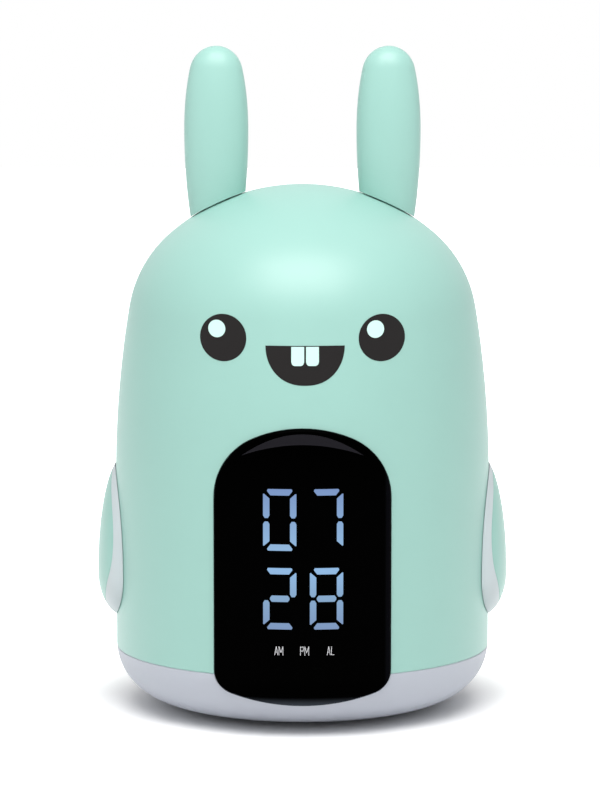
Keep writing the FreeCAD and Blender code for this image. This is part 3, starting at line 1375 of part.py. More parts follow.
DRILL = as_size(20.0)
LEG_FOOT = 2.4
LEG_INSET = 5.0
LEG_THICKNESS = 3.0
WIRE_HOLE = as_size(6.0)
DISC_WIRE_HOLE = as_size(4.0)
LIGHT_BOSS = 4.0
LIGHT_SCREW = as_size(6.0)
LIGHT_SCREWS = 3
LIGHT_SCREW_RING = 22.0
board_half_x = d.post_across + d.post_radius + BOARD_EDGE
board_half_y = d.post_along + d.post_radius + BOARD_EDGE * 2
board_low = (-board_half_x, -board_half_y, d.board_height)
board_high = (board_half_x, board_half_y, board_top)
main_blank = box("main_blank", board_low, board_high)
main_holes = []
frame_holes = []
frame_screws = []
light_plate = rod("light_plate", d.light_radius, d.light_plate, (0, 0, d.light_height))
frame_pieces = [light_plate]
frame_screw_length = d.board_thickness + LEG_FOOT + d.screw_bite - d.slip_gap
for number, (across, along) in enumerate(SIDES):
    x = d.post_across * across
    y = d.post_along * along
    main_hole_at = (x, y, d.board_height - OVERLAP)
    main_holes.append(rod(f"main_hole_{number}", FREE_HOLE, DRILL, main_hole_at))
    foot_radius = d.post_radius + OVERLAP
    frame_pieces.append(rod(f"leg_foot_{number}", foot_radius, LEG_FOOT, (x, y, board_top)))
    leg_inner = (d.post_across - d.post_radius - LEG_INSET) * across
    leg_outer = leg_inner + as_size(LEG_THICKNESS) * across
    leg_ends = sorted((leg_inner, leg_outer), key=lambda size: size.number)
    leg_low = (leg_ends[0], y - d.post_radius, board_top)
    leg_high = (leg_ends[1], y + d.post_radius, d.light_height + OVERLAP)
    frame_pieces.append(box(f"leg_{number}", leg_low, leg_high))
    tab_ends = sorted((leg_inner, x), key=lambda size: size.number)
    tab_low = (tab_ends[0], y - d.post_radius, board_top)
    tab_high = (tab_ends[1], y + d.post_radius, board_top + LEG_FOOT)
    frame_pieces.append(box(f"leg_tab_{number}", tab_low, tab_high))
    leg_hole_at = (x, y, board_top - OVERLAP)
    frame_holes.append(rod(f"leg_hole_{number}", FREE_HOLE, DRILL, leg_hole_at))
    seat = (x, y, board_top + LEG_FOOT)
    frame_screws.append(screw(f"frame_screw_{number}", seat, frame_screw_length, "Z", False))
light_drill_height = d.light_height - LIGHT_BOSS - OVERLAP
frame_holes.append(rod("light_wire_hole", WIRE_HOLE, DRILL, (0, 0, light_drill_height)))
light_screws = []
light_holes = [rod("light_disc_wires", DISC_WIRE_HOLE, DRILL, (0, 0, light_drill_height))]
for number in range(LIGHT_SCREWS):
    angle = 2 * math.pi * number / LIGHT_SCREWS
    x = LIGHT_SCREW_RING * math.cos(angle)
    y = LIGHT_SCREW_RING * math.sin(angle)
    drill_at = (x, y, light_drill_height)
    frame_holes.append(rod(f"light_pilot_{number}", PILOT, DRILL, drill_at))
    light_holes.append(rod(f"light_disc_hole_{number}", FREE_HOLE, DRILL, drill_at))
    boss_at = (x, y, d.light_height - LIGHT_BOSS)
    boss_length = as_size(LIGHT_BOSS)
    frame_pieces.append(rod(f"light_boss_{number}", PILOT + d.boss_wall, boss_length, boss_at))
    seat = (x, y, light_top + d.board_thickness)
    light_screws.append(screw(f"light_screw_{number}", seat, LIGHT_SCREW, "Z", False))
keep("main_board", cut("main_board", main_blank, *main_holes))
keep("light_frame", cut("light_frame", fuse("light_frame_full", *frame_pieces), *frame_holes))
keep("light_frame_screws", group("light_frame_screws", frame_screws))
keep("light_board_screws", group("light_board_screws", light_screws))

CHIPS = (
    ("clock_chip", (-6.0, 2.0), (10.0, 10.0, 1.2)),
    ("sound_chip", (10.0, 4.0), (7.0, 7.0, 1.0)),
    ("rear_plug", (-5.0, 18.0), (10.0, 5.0, 4.0)),
    ("ribbon_plug", (-7.0, -17.8), (14.0, 4.0, 2.4)),
)
CAPACITOR_RADIUS = as_size(3.2)
CAPACITOR_HEIGHT = as_size(8.0)
CAPACITORS = ((-20.0, 8.0), (20.0, 8.0))
board_parts = []
for name, (x, y), (width, depth, height) in CHIPS:
    board_parts.append(box(name, (x, y, board_top), (x + width, y + depth, board_top + height)))
for number, (x, y) in enumerate(CAPACITORS):
    capacitor_at = (x, y, board_top)
    board_parts.append(
        rod(f"capacitor_{number}", CAPACITOR_RADIUS, CAPACITOR_HEIGHT, capacitor_at)
    )
keep("main_board_parts", group("main_board_parts", board_parts))

light_disc = rod("light_disc", d.light_board_radius, d.board_thickness, (0, 0, light_top))
LAMP_COUNT = 6
LAMP_RING = 14.0
LAMP_HALF = 1.8
LAMP_BASE = 1.2
LENS_LOW_RADIUS = 1.5
LENS_HIGH_RADIUS = 1.0
LENS_HEIGHT = as_size(0.8)
lamps = []
lamp_at = light_top + d.board_thickness
lens_at = lamp_at + LAMP_BASE
for number in range(LAMP_COUNT):
    angle = 2 * math.pi * number / LAMP_COUNT
    x = LAMP_RING * math.cos(angle)
    y = LAMP_RING * math.sin(angle)
    low = (x - LAMP_HALF, y - LAMP_HALF, lamp_at)
    high = (x + LAMP_HALF, y + LAMP_HALF, lens_at)
    base = box(f"lamp_base_{number}", low, high)
    lens_name = f"lamp_lens_{number}"
    lens = cone(lens_name, LENS_LOW_RADIUS, LENS_HIGH_RADIUS, LENS_HEIGHT, (x, y, lens_at))
    lamps.append(fuse(f"lamp_{number}", base, lens))
keep("light_board", cut("light_board", light_disc, *light_holes))
keep("light_lamps", group("light_lamps", lamps))
DIFFUSER_FLANGE = 3.0
DIFFUSER_LEAN = 6.0
foot_reach = d.diffuser_radius + DIFFUSER_FLANGE
diffuser_inside = d.diffuser_radius - d.diffuser_wall
diffuser_top = light_top + d.diffuser_height
diffuser_corners = [
    (diffuser_inside, light_top, None),
    (foot_reach, light_top, None),
    (foot_reach, light_top + d.diffuser_wall, None),
    (d.diffuser_radius, light_top + d.diffuser_wall, None),
    (d.diffuser_radius - DIFFUSER_LEAN, diffuser_top, None),
    (0, diffuser_top, None),
    (0, diffuser_top - d.diffuser_wall, None),
    (diffuser_inside - DIFFUSER_LEAN, diffuser_top - d.diffuser_wall, None),
    (diffuser_inside, light_top + d.diffuser_wall, None),
]
keep("light_diffuser", turned("light_diffuser", diffuser_corners))

# Finished parts are checked, then written

doc.recompute()
for item in doc.Objects:
    bad = [state for state in item.State if state in ("Invalid", "Error")]
    if bad:
        raise RuntimeError(f"{item.Name} is {bad}")
for node, item in NODES.items():
    if item.Shape.isNull() or not item.Shape.isValid():
        raise RuntimeError(f"{node} has no valid shape")

os.makedirs("parts", exist_ok=True)
for node, item in NODES.items():
    item.Shape.exportStep(f"parts/{node}.step")
    bounds = item.Shape.BoundBox
    print(f"{node}: {len(item.Shape.Solids)} solids, {item.Shape.Volume:.0f} mm3, top {bounds.ZMax:.1f}")
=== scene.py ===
"""Children's alarm clock with a night light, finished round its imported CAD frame.

Lengths are metres and angles radians, in the frame's own axes: +Z up, the display faces -Y.
"""
import json
import math

import bmesh
import bpy
import numpy as np
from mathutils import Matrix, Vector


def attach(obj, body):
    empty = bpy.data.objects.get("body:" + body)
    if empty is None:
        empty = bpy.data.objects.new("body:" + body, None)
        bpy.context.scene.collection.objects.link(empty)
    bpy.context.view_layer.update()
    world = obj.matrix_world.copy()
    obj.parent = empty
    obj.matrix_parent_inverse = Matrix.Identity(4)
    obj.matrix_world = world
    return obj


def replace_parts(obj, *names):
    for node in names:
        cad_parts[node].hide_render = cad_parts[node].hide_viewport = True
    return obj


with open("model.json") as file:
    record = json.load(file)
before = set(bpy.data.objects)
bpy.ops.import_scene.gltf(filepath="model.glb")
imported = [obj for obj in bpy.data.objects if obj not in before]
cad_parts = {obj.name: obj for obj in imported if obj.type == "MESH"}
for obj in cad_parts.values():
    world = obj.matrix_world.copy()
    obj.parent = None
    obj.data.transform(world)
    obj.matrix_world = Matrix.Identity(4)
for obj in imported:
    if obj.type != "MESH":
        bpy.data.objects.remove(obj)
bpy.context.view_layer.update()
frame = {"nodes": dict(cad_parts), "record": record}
nodes = frame["nodes"]

# Sizes of the body and of the pieces that lie on it

SIDES = ((1, "right"), (-1, "left"))
BODY_RADIUS = 0.0610
SIDE_START, SIDE_BEND, SIDE_SWEEP = 0.0748, 0.3410, math.radians(9.5)
SHOULDER_BEND, SHOULDER_LEAN = 0.0400, math.radians(49.7)
BOWL_START, BOWL_BEND, BOWL_LEAN = 0.0212, 0.0183, math.radians(51.3)
HEEL_BEND = 0.0233
WINDOW_PROUD = 0.0013
EAR_PLACE, EAR_HEIGHT = 0.0279, 0.1884
EAR_HALF_WIDTH, EAR_HALF_DEPTH = 0.0104, 0.0072
EAR_RISE, EAR_DROP = 0.0340, 0.0485
EAR_TIP_START, EAR_TIP_HEIGHT = 0.0200, 0.0070
PAW_PLACE, PAW_HEIGHT = 0.0580, 0.0440
PAW_BULGE, PAW_HALF_WIDTH = 0.0090, 0.0196
PAW_RISE, PAW_DROP = 0.0380, 0.0150
PRINT_LIFT = 0.00006
PRINT_DEPTH = 0.00012

DIGIT_WIDTH, DIGIT_HEIGHT, DIGIT_PITCH = 0.0104, 0.0194, 0.0146
DIGIT_SHIFT = 0.0002
HOUR_ROW, MINUTE_ROW = 0.0700, 0.04515
STROKE = 0.0020
MARK_ROW, MARK_HEIGHT = 0.02865, 0.0028
MARKS = (("AM", -0.0087), ("PM", -0.00064), ("AL", 0.0077))
LETTER_WIDTHS = {"A": 0.00100, "M": 0.00125, "P": 0.00100, "L": 0.00100}
LETTER_GAP, LETTER_STROKE = 0.00034, 0.00017
# A painted reflection on the window: a grey crescent near its top, standing for a lamp seen in its
# gloss
REFLECTION_HALF_WIDTH, REFLECTION_TOP, REFLECTION_HEIGHT = 0.0190, 0.0968, 0.0033
REFLECTION_SAG_TOP, REFLECTION_SAG_BOTTOM = 0.0069, 0.0036

EYE_PLACE, EYE_HEIGHT, EYE_RADIUS = 0.0248, 0.1260, 0.0073
GLINT_SHIFT, GLINT_RADIUS = (-0.0020, 0.0027), 0.0027
SMILE_MIDDLE, SMILE_TOP = 0.0008, 0.1240
SMILE_HALF_WIDTH, SMILE_DEPTH, SMILE_POWER = 0.01235, 0.0123, 2.3
TOOTH_WIDTH, TOOTH_FOOT, TOOTH_GAP = 0.0040, 0.0062, 0.0006
TOOTH_INSET, TOOTH_BEND = 0.0003, 0.0012

# How the meshes shade and join: angles in degrees, how far a point may lie from the body in
# metres and from an oval as a share, and the gaps in metres that are merged

SMOOTH_ANGLE, PANEL_ANGLE, PRINT_ANGLE, TRUE_ANGLE = 32, 8, 40, 12
ON_BODY, ON_OVAL = 0.0002, 0.01
WELD, PRINT_WELD, SLIVER = 1e-6, 2e-6, 1e-6

# The straight side's centres lie this far inside it, and no length is divided by less

STRAIGHT_INSET, TINY = 0.02, 1e-9

# The body's surface of revolution, as arcs in the plane of radius and height


def on_arc(centre, bend, lean):
    """The point of an arc whose radius leans upwards from the horizontal by an angle."""
    return centre + bend * np.array([math.cos(lean), math.sin(lean)])


side_centre = np.array([BODY_RADIUS - SIDE_BEND, SIDE_START])
side_end = on_arc(side_centre, SIDE_BEND, SIDE_SWEEP)
shoulder_centre = on_arc(side_end, -SHOULDER_BEND, SIDE_SWEEP)
shoulder_end = on_arc(shoulder_centre, SHOULDER_BEND, SHOULDER_LEAN)
crown_bend = shoulder_end[0] / math.cos(SHOULDER_LEAN)
crown_centre = np.array([0.0, shoulder_end[1] - crown_bend * math.sin(SHOULDER_LEAN)])
bowl_centre = np.array([BODY_RADIUS - BOWL_BEND, BOWL_START])
heel_centre = on_arc(bowl_centre, BOWL_BEND - HEEL_BEND, -BOWL_LEAN)


def body_normals(points):
    """Unit normals of the body of revolution: away from the centre of the arc that a point
    is nearest to by height, turned to the point's own azimuth. The straight side has a
    centre at every height."""
    x, y, z = points.T
    radius = np.maximum(np.hypot(x, y), TINY)
    centres = np.stack([np.full_like(z, BODY_RADIUS - STRAIGHT_INSET), z], axis=1)
    above_side = z > side_centre[1]
    shoulder = (z - shoulder_centre[1]) > (radius - shoulder_centre[0]) * math.tan(SIDE_SWEEP)
    crown = (z - crown_centre[1]) > radius * math.tan(SHOULDER_LEAN)
    bowl = z < BOWL_START
    heel = bowl & ((bowl_centre[1] - z) > (radius - bowl_centre[0]) * math.tan(BOWL_LEAN))
    for chosen, centre in (
        (above_side, side_centre),
        (above_side & shoulder, shoulder_centre),
        (crown, crown_centre),
        (bowl, bowl_centre),
        (heel, heel_centre),
    ):
        centres[chosen] = centre
    outward = radius - centres[:, 0]
    upward = z - centres[:, 1]
    length = np.maximum(np.hypot(outward, upward), TINY)
    outward, upward = outward / length, upward / length
    return np.stack([outward * x / radius, outward * y / radius, upward], axis=1)


def body_radii(z, lift):
    """The body's radius at each height, with its surface moved out by lift: the arcs' own
    circles between the heights where they meet."""
    side_top = side_centre[1] + (SIDE_BEND + lift) * math.sin(SIDE_SWEEP)
    shoulder_top = shoulder_centre[1] + (SHOULDER_BEND + lift) * math.sin(SHOULDER_LEAN)
    bowl_foot = bowl_centre[1] - (BOWL_BEND + lift) * math.sin(BOWL_LEAN)

    def arc(centre, bend):
        rise = np.clip((bend + lift) ** 2 - (z - centre[1]) ** 2, 0.0, None)
        return centre[0] + np.sqrt(rise)

    places = [z < bowl_foot, z < BOWL_START, z < SIDE_START, z < side_top, z < shoulder_top]
    radii = [
        arc(heel_centre, HEEL_BEND),
        arc(bowl_centre, BOWL_BEND),
        np.full_like(z, BODY_RADIUS + lift),
        arc(side_centre, SIDE_BEND),
        arc(shoulder_centre, SHOULDER_BEND),
    ]
    return np.select(places, radii, arc(crown_centre, crown_bend))


def oval_scale(points, centre, halves):
    """The half axes of two half ellipsoids that share their widest section, at each point:
    one height above the centre and another below it."""
    half_x, half_y, rise, drop = halves
    height = np.where(points[:, 2] > centre[2], rise, drop)
    return np.stack([np.full_like(height, half_x), np.full_like(height, half_y), height], axis=1)


def oval_normals(points, centre, halves):
    """Unit normals of these half ellipsoids: the gradient of the sum of squared shares."""
    gradient = (points - centre) / oval_scale(points, centre, halves) ** 2
    return gradient / np.linalg.norm(gradient, axis=1, keepdims=True)


# Mesh makers


def placed(name, data):
    """A new object of the scene with the given data."""
    item = bpy.data.objects.new(name, data)
    bpy.context.scene.collection.objects.link(item)
    return item


def new_mesh(name, vertices, faces, material):
    mesh = bpy.data.meshes.new(name)
    mesh.from_pydata(vertices.tolist(), [], faces.tolist())
    mesh.materials.append(material)
    return mesh


def values_of(items, attribute, width=3, kind=float):
    """One attribute of all the vertices, corners or faces of a mesh, a row for each."""
    values = np.zeros(len(items) * width, dtype=kind)
    items.foreach_get(attribute, values)
    return values.reshape(-1, width)


def grid_faces(rows, columns):
    """Quads between neighbouring points of a grid kept row by row."""
    corner = np.arange(rows * columns).reshape(rows, columns)
    quads = [corner[:-1, :-1], corner[:-1, 1:], corner[1:, 1:], corner[1:, :-1]]
    return np.stack(quads, axis=-1).reshape(-1, 4)


def printed(name, patches, surface_lift, material):
    """Thin closed patches that follow the body's front. Each patch is a grid of (x, z), and
    its y is minus the leg of the triangle made by the body's radius at z and by x. A second
    grid lies a little deeper, and a strip joins their borders."""
    vertices, faces, start = [], [], 0
    for patch in patches:
        rows, columns = patch.shape[:2]
        flat = patch.reshape(-1, 2)
        for lift in (surface_lift + PRINT_LIFT, surface_lift + PRINT_LIFT - PRINT_DEPTH):
            radii = body_radii(flat[:, 1], lift)
            y = -np.sqrt(np.clip(radii**2 - flat[:, 0] ** 2, 0.0, None))
            vertices.append(np.stack([flat[:, 0], y, flat[:, 1]], axis=1))
        count = rows * columns
        top = grid_faces(rows, columns) + start
        corner = np.arange(count).reshape(rows, columns)
        rim = np.concatenate(
            [corner[0, :-1], corner[:-1, -1], corner[-1, :0:-1], corner[:0:-1, 0]]
        )
        after = np.roll(rim, -1)
        wall = np.stack([after, rim, rim + count, after + count], axis=1) + start
        faces += [top, top[:, ::-1] + count, wall]
        start += count * 2
    mesh = new_mesh(name, np.concatenate(vertices), np.concatenate(faces), material)
    mesh.shade_smooth()
    close_up(mesh)
    piece = placed(name, mesh)
    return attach(piece, "case")


def close_up(mesh):
    """Merge the doubles of a mesh, drop faces without area and turn its faces outwards."""
    work = bmesh.new()
    work.from_mesh(mesh)
    bmesh.ops.remove_doubles(work, verts=work.verts, dist=PRINT_WELD)
    bmesh.ops.dissolve_degenerate(work, edges=work.edges, dist=SLIVER)
    bmesh.ops.recalc_face_normals(work, faces=work.faces)
    work.to_mesh(mesh)
    work.free()
    mesh.set_sharp_from_angle(angle=math.radians(PRINT_ANGLE))


def smoothed(node, material, body, surface, smooth=SMOOTH_ANGLE):
    """A merged copy of a CAD node that stands for it and shades as its true surface does.
    Corners shade smoothly up to the smooth angle. A corner on the given surface, whose face
    leans from that surface by less than the true angle, takes the surface's own normal."""
    mesh = nodes[node].data.copy()
    mesh.name = f"{node}_finish"
    work = bmesh.new()
    work.from_mesh(mesh)
    bmesh.ops.remove_doubles(work, verts=work.verts, dist=WELD)
    work.to_mesh(mesh)
    work.free()
    mesh.shade_smooth()
    mesh.set_sharp_from_angle(angle=math.radians(smooth))
    corner_count = values_of(mesh.polygons, "loop_total", 1, int)[:, 0]
    face_normals = np.repeat(values_of(mesh.polygons, "normal"), corner_count, axis=0)
    corners = values_of(mesh.corner_normals, "vector")
    vertex_of = values_of(mesh.loops, "vertex_index", 1, int)[:, 0]
    normals, on_it = surface(values_of(mesh.vertices, "co")[vertex_of])
    leaning = np.sum(normals * face_normals, axis=1)
    near = on_it & (leaning > math.cos(math.radians(TRUE_ANGLE)))
    corners[near] = normals[near]
    mesh.normals_split_custom_set(corners.tolist())
    piece = placed(f"{node}_finish", mesh)
    mesh.materials.clear()
    mesh.materials.append(material)
    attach(piece, body)
    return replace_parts(piece, node)


def on_body(lift):
    """The body's normals, and which points lie on its surface moved out by lift."""

    def surface(points):
        radius = np.hypot(points[:, 0], points[:, 1])
        expected = body_radii(points[:, 2], lift)
        crown_way = np.hypot(radius, points[:, 2] - crown_centre[1]) - crown_bend - lift
        by_crown = points[:, 2] > shoulder_end[1]
        off = np.where(by_crown, np.abs(crown_way), np.abs(radius - expected))
        return body_normals(points), off < ON_BODY

    return surface


def on_oval(centre, halves):
    """The oval's normals, and which points lie on it."""

    def surface(points):
        share = np.sum(((points - centre) / oval_scale(points, centre, halves)) ** 2, axis=1)
        return oval_normals(points, centre, halves), np.abs(share - 1) < ON_OVAL

    return surface


def on_ear(centre):
    """The same for an ear, whose upper end is a blunter ellipsoid of the same width and slope
    where it begins: the pull p is the long curve's slope there times the end's height over
    the half width, the sine of the end's own latitude is p / (1 - p), and from it follow the
    end's half height and its larger half width."""
    sine = EAR_TIP_START / EAR_RISE
    cosine = math.sqrt(1 - sine**2)
    pull = EAR_TIP_HEIGHT / EAR_RISE * sine / cosine**2
    end_sine = pull / (1 - pull)
    swell = cosine / math.sqrt(1 - end_sine**2)
    end_rise = EAR_TIP_HEIGHT / (1 - end_sine)
    end_centre = (centre[0], centre[1], centre[2] + EAR_TIP_START - end_rise * end_sine)
    end_halves = (EAR_HALF_WIDTH * swell, EAR_HALF_DEPTH * swell, end_rise, end_rise)
    long_part = on_oval(centre, (EAR_HALF_WIDTH, EAR_HALF_DEPTH, EAR_RISE, EAR_DROP))
    end_part = on_oval(end_centre, end_halves)

    def surface(points):
        normals, close = long_part(points)
        end_normals, end_close = end_part(points)
        at_end = points[:, 2] > centre[2] + EAR_TIP_START
        return np.where(at_end[:, None], end_normals, normals), np.where(at_end, end_close, close)

    return surface


# Shader groups: each puts out colours, values and heights that change over the surface


def socket(group, name, kind, way, value=None):
    made = group.interface.new_socket(name=name, in_out=way, socket_type=kind)
    if value is not None:
        made.default_value = value


def feed(tree, given, entry):
    """Give an input a constant, or link another node's output to it."""
    if isinstance(given, (int, float, tuple)):
        entry.default_value = given
    else:
        tree.links.new(given, entry)


def math_node(tree, operation, first, second):
    node = tree.nodes.new("ShaderNodeMath")
    node.operation = operation
    feed(tree, first, node.inputs[0])
    feed(tree, second, node.inputs[1])
    return node.outputs[0]


def axis_of(tree, vector, axis):
    """One coordinate of a vector."""
    parts = tree.nodes.new("ShaderNodeSeparateXYZ")
    tree.links.new(vector, parts.inputs[0])
    return parts.outputs[axis]


def rise_between(tree, value, low, high):
    """A smooth rise from nought to one while the value goes from low to high."""
    spread = tree.nodes.new("ShaderNodeMapRange")
    spread.interpolation_type = "SMOOTHSTEP"
    spread.inputs["From Min"].default_value = low
    spread.inputs["From Max"].default_value = high
    tree.links.new(value, spread.inputs["Value"])
    return spread.outputs["Result"]


def mixed(tree, factor, first, second):
    """A colour between two by a factor; the first may be an output of another node."""
    mix = tree.nodes.new("ShaderNodeMix")
    mix.data_type = "RGBA"
    feed(tree, first, mix.inputs["A"])
    mix.inputs["B"].default_value = second
    tree.links.new(factor, mix.inputs["Factor"])
    return mix.outputs["Result"]


def seen_or_mirrored(tree):
    """One for rays from the camera, from gloss and through glass, nought for the rest."""
    path = tree.nodes.new("ShaderNodeLightPath")
    seen = math_node(tree, "MAXIMUM", path.outputs["Is Camera Ray"], path.outputs["Is Glossy Ray"])
    return math_node(tree, "MAXIMUM", seen, path.outputs["Is Transmission Ray"])


# Scales of the noise per metre, its share in roughness and height, and depths in metres

NOISE_MEAN = 0.5
PATCH_SCALE, GRAIN_SCALE, STIPPLE_SCALE = 35.0, 900.0, 2600.0
PATCH_ROUGHNESS, GRAIN_ROUGHNESS, GRAIN_HEIGHT = 0.08, 0.10, 0.5
DRIFT, STIPPLE_DEPTH, GLOSS_DEPTH = 0.04, 0.000004, 0.0000005
STREAK_SCALE, STREAK_STRETCH, STREAK_ROUGHNESS = 2200.0, (1.0, 1.0, 0.05), 0.25
STREAK_DEPTH = 0.000003


def noise(tree, where, scale, detail=3.0):
    node = tree.nodes.new("ShaderNodeTexNoise")
    node.inputs["Scale"].default_value = scale
    node.inputs["Detail"].default_value = detail
    tree.links.new(where, node.inputs["Vector"])
    return node.outputs["Fac"]


def moulding_group():
    """Moulded plastic: a fine stipple and a coarser grain for height, grain and slow patches
    for roughness, and a faint drift of the colour's brightness from place to place."""
    group = bpy.data.node_groups.new("moulding", "ShaderNodeTree")
    socket(group, "Vector", "NodeSocketVector", "INPUT")
    socket(group, "Color", "NodeSocketColor", "INPUT", (0.5, 0.5, 0.5, 1.0))
    socket(group, "Roughness", "NodeSocketFloat", "INPUT", 0.4)
    socket(group, "Drift", "NodeSocketFloat", "INPUT", DRIFT)
    socket(group, "Color", "NodeSocketColor", "OUTPUT")
    socket(group, "Roughness", "NodeSocketFloat", "OUTPUT")
    socket(group, "Height", "NodeSocketFloat", "OUTPUT")
    given = group.nodes.new("NodeGroupInput")
    result = group.nodes.new("NodeGroupOutput")
    slow = noise(group, given.outputs["Vector"], PATCH_SCALE)
    middle = noise(group, given.outputs["Vector"], GRAIN_SCALE)
    fine = noise(group, given.outputs["Vector"], STIPPLE_SCALE, 2.0)
    centred = math_node(group, "SUBTRACT", slow, NOISE_MEAN)
    shift = math_node(group, "MULTIPLY", centred, given.outputs["Drift"])
    brightness = math_node(group, "ADD", shift, 1.0)
    tint = group.nodes.new("ShaderNodeVectorMath")
    tint.operation = "SCALE"
    group.links.new(given.outputs["Color"], tint.inputs[0])
    group.links.new(brightness, tint.inputs["Scale"])
    group.links.new(tint.outputs[0], result.inputs["Color"])
    grain = math_node(group, "SUBTRACT", middle, NOISE_MEAN)
    uneven = math_node(group, "MULTIPLY", grain, GRAIN_ROUGHNESS)
    broad = math_node(group, "MULTIPLY", centred, PATCH_ROUGHNESS)
    together = math_node(group, "ADD", uneven, broad)
    rough = math_node(group, "ADD", given.outputs["Roughness"], together)
    group.links.new(rough, result.inputs["Roughness"])
    height = math_node(group, "ADD", math_node(group, "MULTIPLY", middle, GRAIN_HEIGHT), fine)
    group.links.new(height, result.inputs["Height"])
    return group


def streak_group():
    """Drawn or rolled metal: noise stretched along one axis, for roughness and height."""
    group = bpy.data.node_groups.new("streaks", "ShaderNodeTree")
    socket(group, "Vector", "NodeSocketVector", "INPUT")
    socket(group, "Roughness", "NodeSocketFloat", "INPUT", 0.3)
    socket(group, "Roughness", "NodeSocketFloat", "OUTPUT")
    socket(group, "Height", "NodeSocketFloat", "OUTPUT")
    given = group.nodes.new("NodeGroupInput")
    result = group.nodes.new("NodeGroupOutput")
    mapping = group.nodes.new("ShaderNodeMapping")
    mapping.inputs["Scale"].default_value = STREAK_STRETCH
    group.links.new(given.outputs["Vector"], mapping.inputs["Vector"])
    streaks = noise(group, mapping.outputs["Vector"], STREAK_SCALE)
    centred = math_node(group, "SUBTRACT", streaks, NOISE_MEAN)
    spread = math_node(group, "MULTIPLY", centred, STREAK_ROUGHNESS)
    rough = math_node(group, "ADD", given.outputs["Roughness"], spread)
    group.links.new(rough, result.inputs["Roughness"])
    group.links.new(streaks, result.inputs["Height"])
    return group


moulding = moulding_group()
streaks = streak_group()

# Materials


def linear(red, green, blue):
    """A colour of 0 to 255 parts as the renderer's own linear values."""
    parts = np.array([red, green, blue]) / 255.0
    values = np.where(parts <= 0.04045, parts / 12.92, ((parts + 0.055) / 1.055) ** 2.4)
    return (*values.tolist(), 1.0)


def started(name):
    """A new material with its shader and its Object coordinates."""
    material = bpy.data.materials.new(name)
    material.use_nodes = True
    tree = material.node_tree
    shader = tree.nodes["Principled BSDF"]
    where = tree.nodes.new("ShaderNodeTexCoord").outputs["Object"]
    return material, tree, shader, where


def bumped(tree, shader, height, distance):
    """Feed a height into the shader's normal, distance being the height's depth."""
    bump = tree.nodes.new("ShaderNodeBump")
    bump.inputs["Strength"].default_value = 1.0
    bump.inputs["Distance"].default_value = distance
    tree.links.new(height, bump.inputs["Height"])
    tree.links.new(bump.outputs["Normal"], shader.inputs["Normal"])


def moulded(tree, shader, where, colour, roughness, drift=DRIFT):
    """Lay the moulding's colour and roughness on a shader, and put out its height. The given
    colour may be an output of another node."""
    group = tree.nodes.new("ShaderNodeGroup")
    group.node_tree = moulding
    group.inputs["Roughness"].default_value = roughness
    group.inputs["Drift"].default_value = drift
    tree.links.new(where, group.inputs["Vector"])
    feed(tree, colour, group.inputs["Color"])
    tree.links.new(group.outputs["Color"], shader.inputs["Base Color"])
    tree.links.new(group.outputs["Roughness"], shader.inputs["Roughness"])
    return group.outputs["Height"]


def plastic(name, colour, roughness, specular=0.5, drift=DRIFT, depth=STIPPLE_DEPTH):
    material, tree, shader, where = started(name)
    height = moulded(tree, shader, where, colour, roughness, drift)
    bumped(tree, shader, height, depth)
    shader.inputs["Specular IOR Level"].default_value = specular
    return material


def metal(name, colour, roughness):
    material, tree, shader, where = started(name)
    group = tree.nodes.new("ShaderNodeGroup")
    group.node_tree = streaks
    group.inputs["Roughness"].default_value = roughness
    tree.links.new(where, group.inputs["Vector"])
    tree.links.new(group.outputs["Roughness"], shader.inputs["Roughness"])
    bumped(tree, shader, group.outputs["Height"], STREAK_DEPTH)
    shader.inputs["Base Color"].default_value = colour
    shader.inputs["Metallic"].default_value = 1.0
    return material


def two_tone(name, factor_of, first, second, roughness):
    """Plastic whose colour changes from first to second with a mask of the coordinates."""
    material, tree, shader, where = started(name)
    colour = mixed(tree, factor_of(tree, where), first, second)
    bumped(tree, shader, moulded(tree, shader, where, colour, roughness), STIPPLE_DEPTH)
    return material


TRACK_SCALE, TRACK_WIDTH, SLEEVE_END = 220.0, 0.04, 0.008


def board_tracks(tree, where):
    """Copper tracks under the lacquer: thin lines of a brick pattern seen from above."""
    bricks = tree.nodes.new("ShaderNodeTexBrick")
    bricks.inputs["Scale"].default_value = TRACK_SCALE
    bricks.inputs["Mortar Size"].default_value = TRACK_WIDTH
    tree.links.new(where, bricks.inputs["Vector"])
    return bricks.outputs["Fac"]


def cell_band(tree, where):
    """The coloured end of a battery's sleeve: one where y is past the place of its edge."""
    return math_node(tree, "GREATER_THAN", axis_of(tree, where, "Y"), SLEEVE_END)


LIT_STOPS = (
    (0.0, linear(121, 147, 187)),
    (0.22, linear(130, 165, 200)),
    (0.44, linear(142, 184, 226)),
    (0.6, linear(139, 178, 216)),
    (1.0, linear(118, 146, 194)),
)
LIT_SPECULAR, LIT_BASE = 0.1, (0.01, 0.01, 0.01, 1.0)


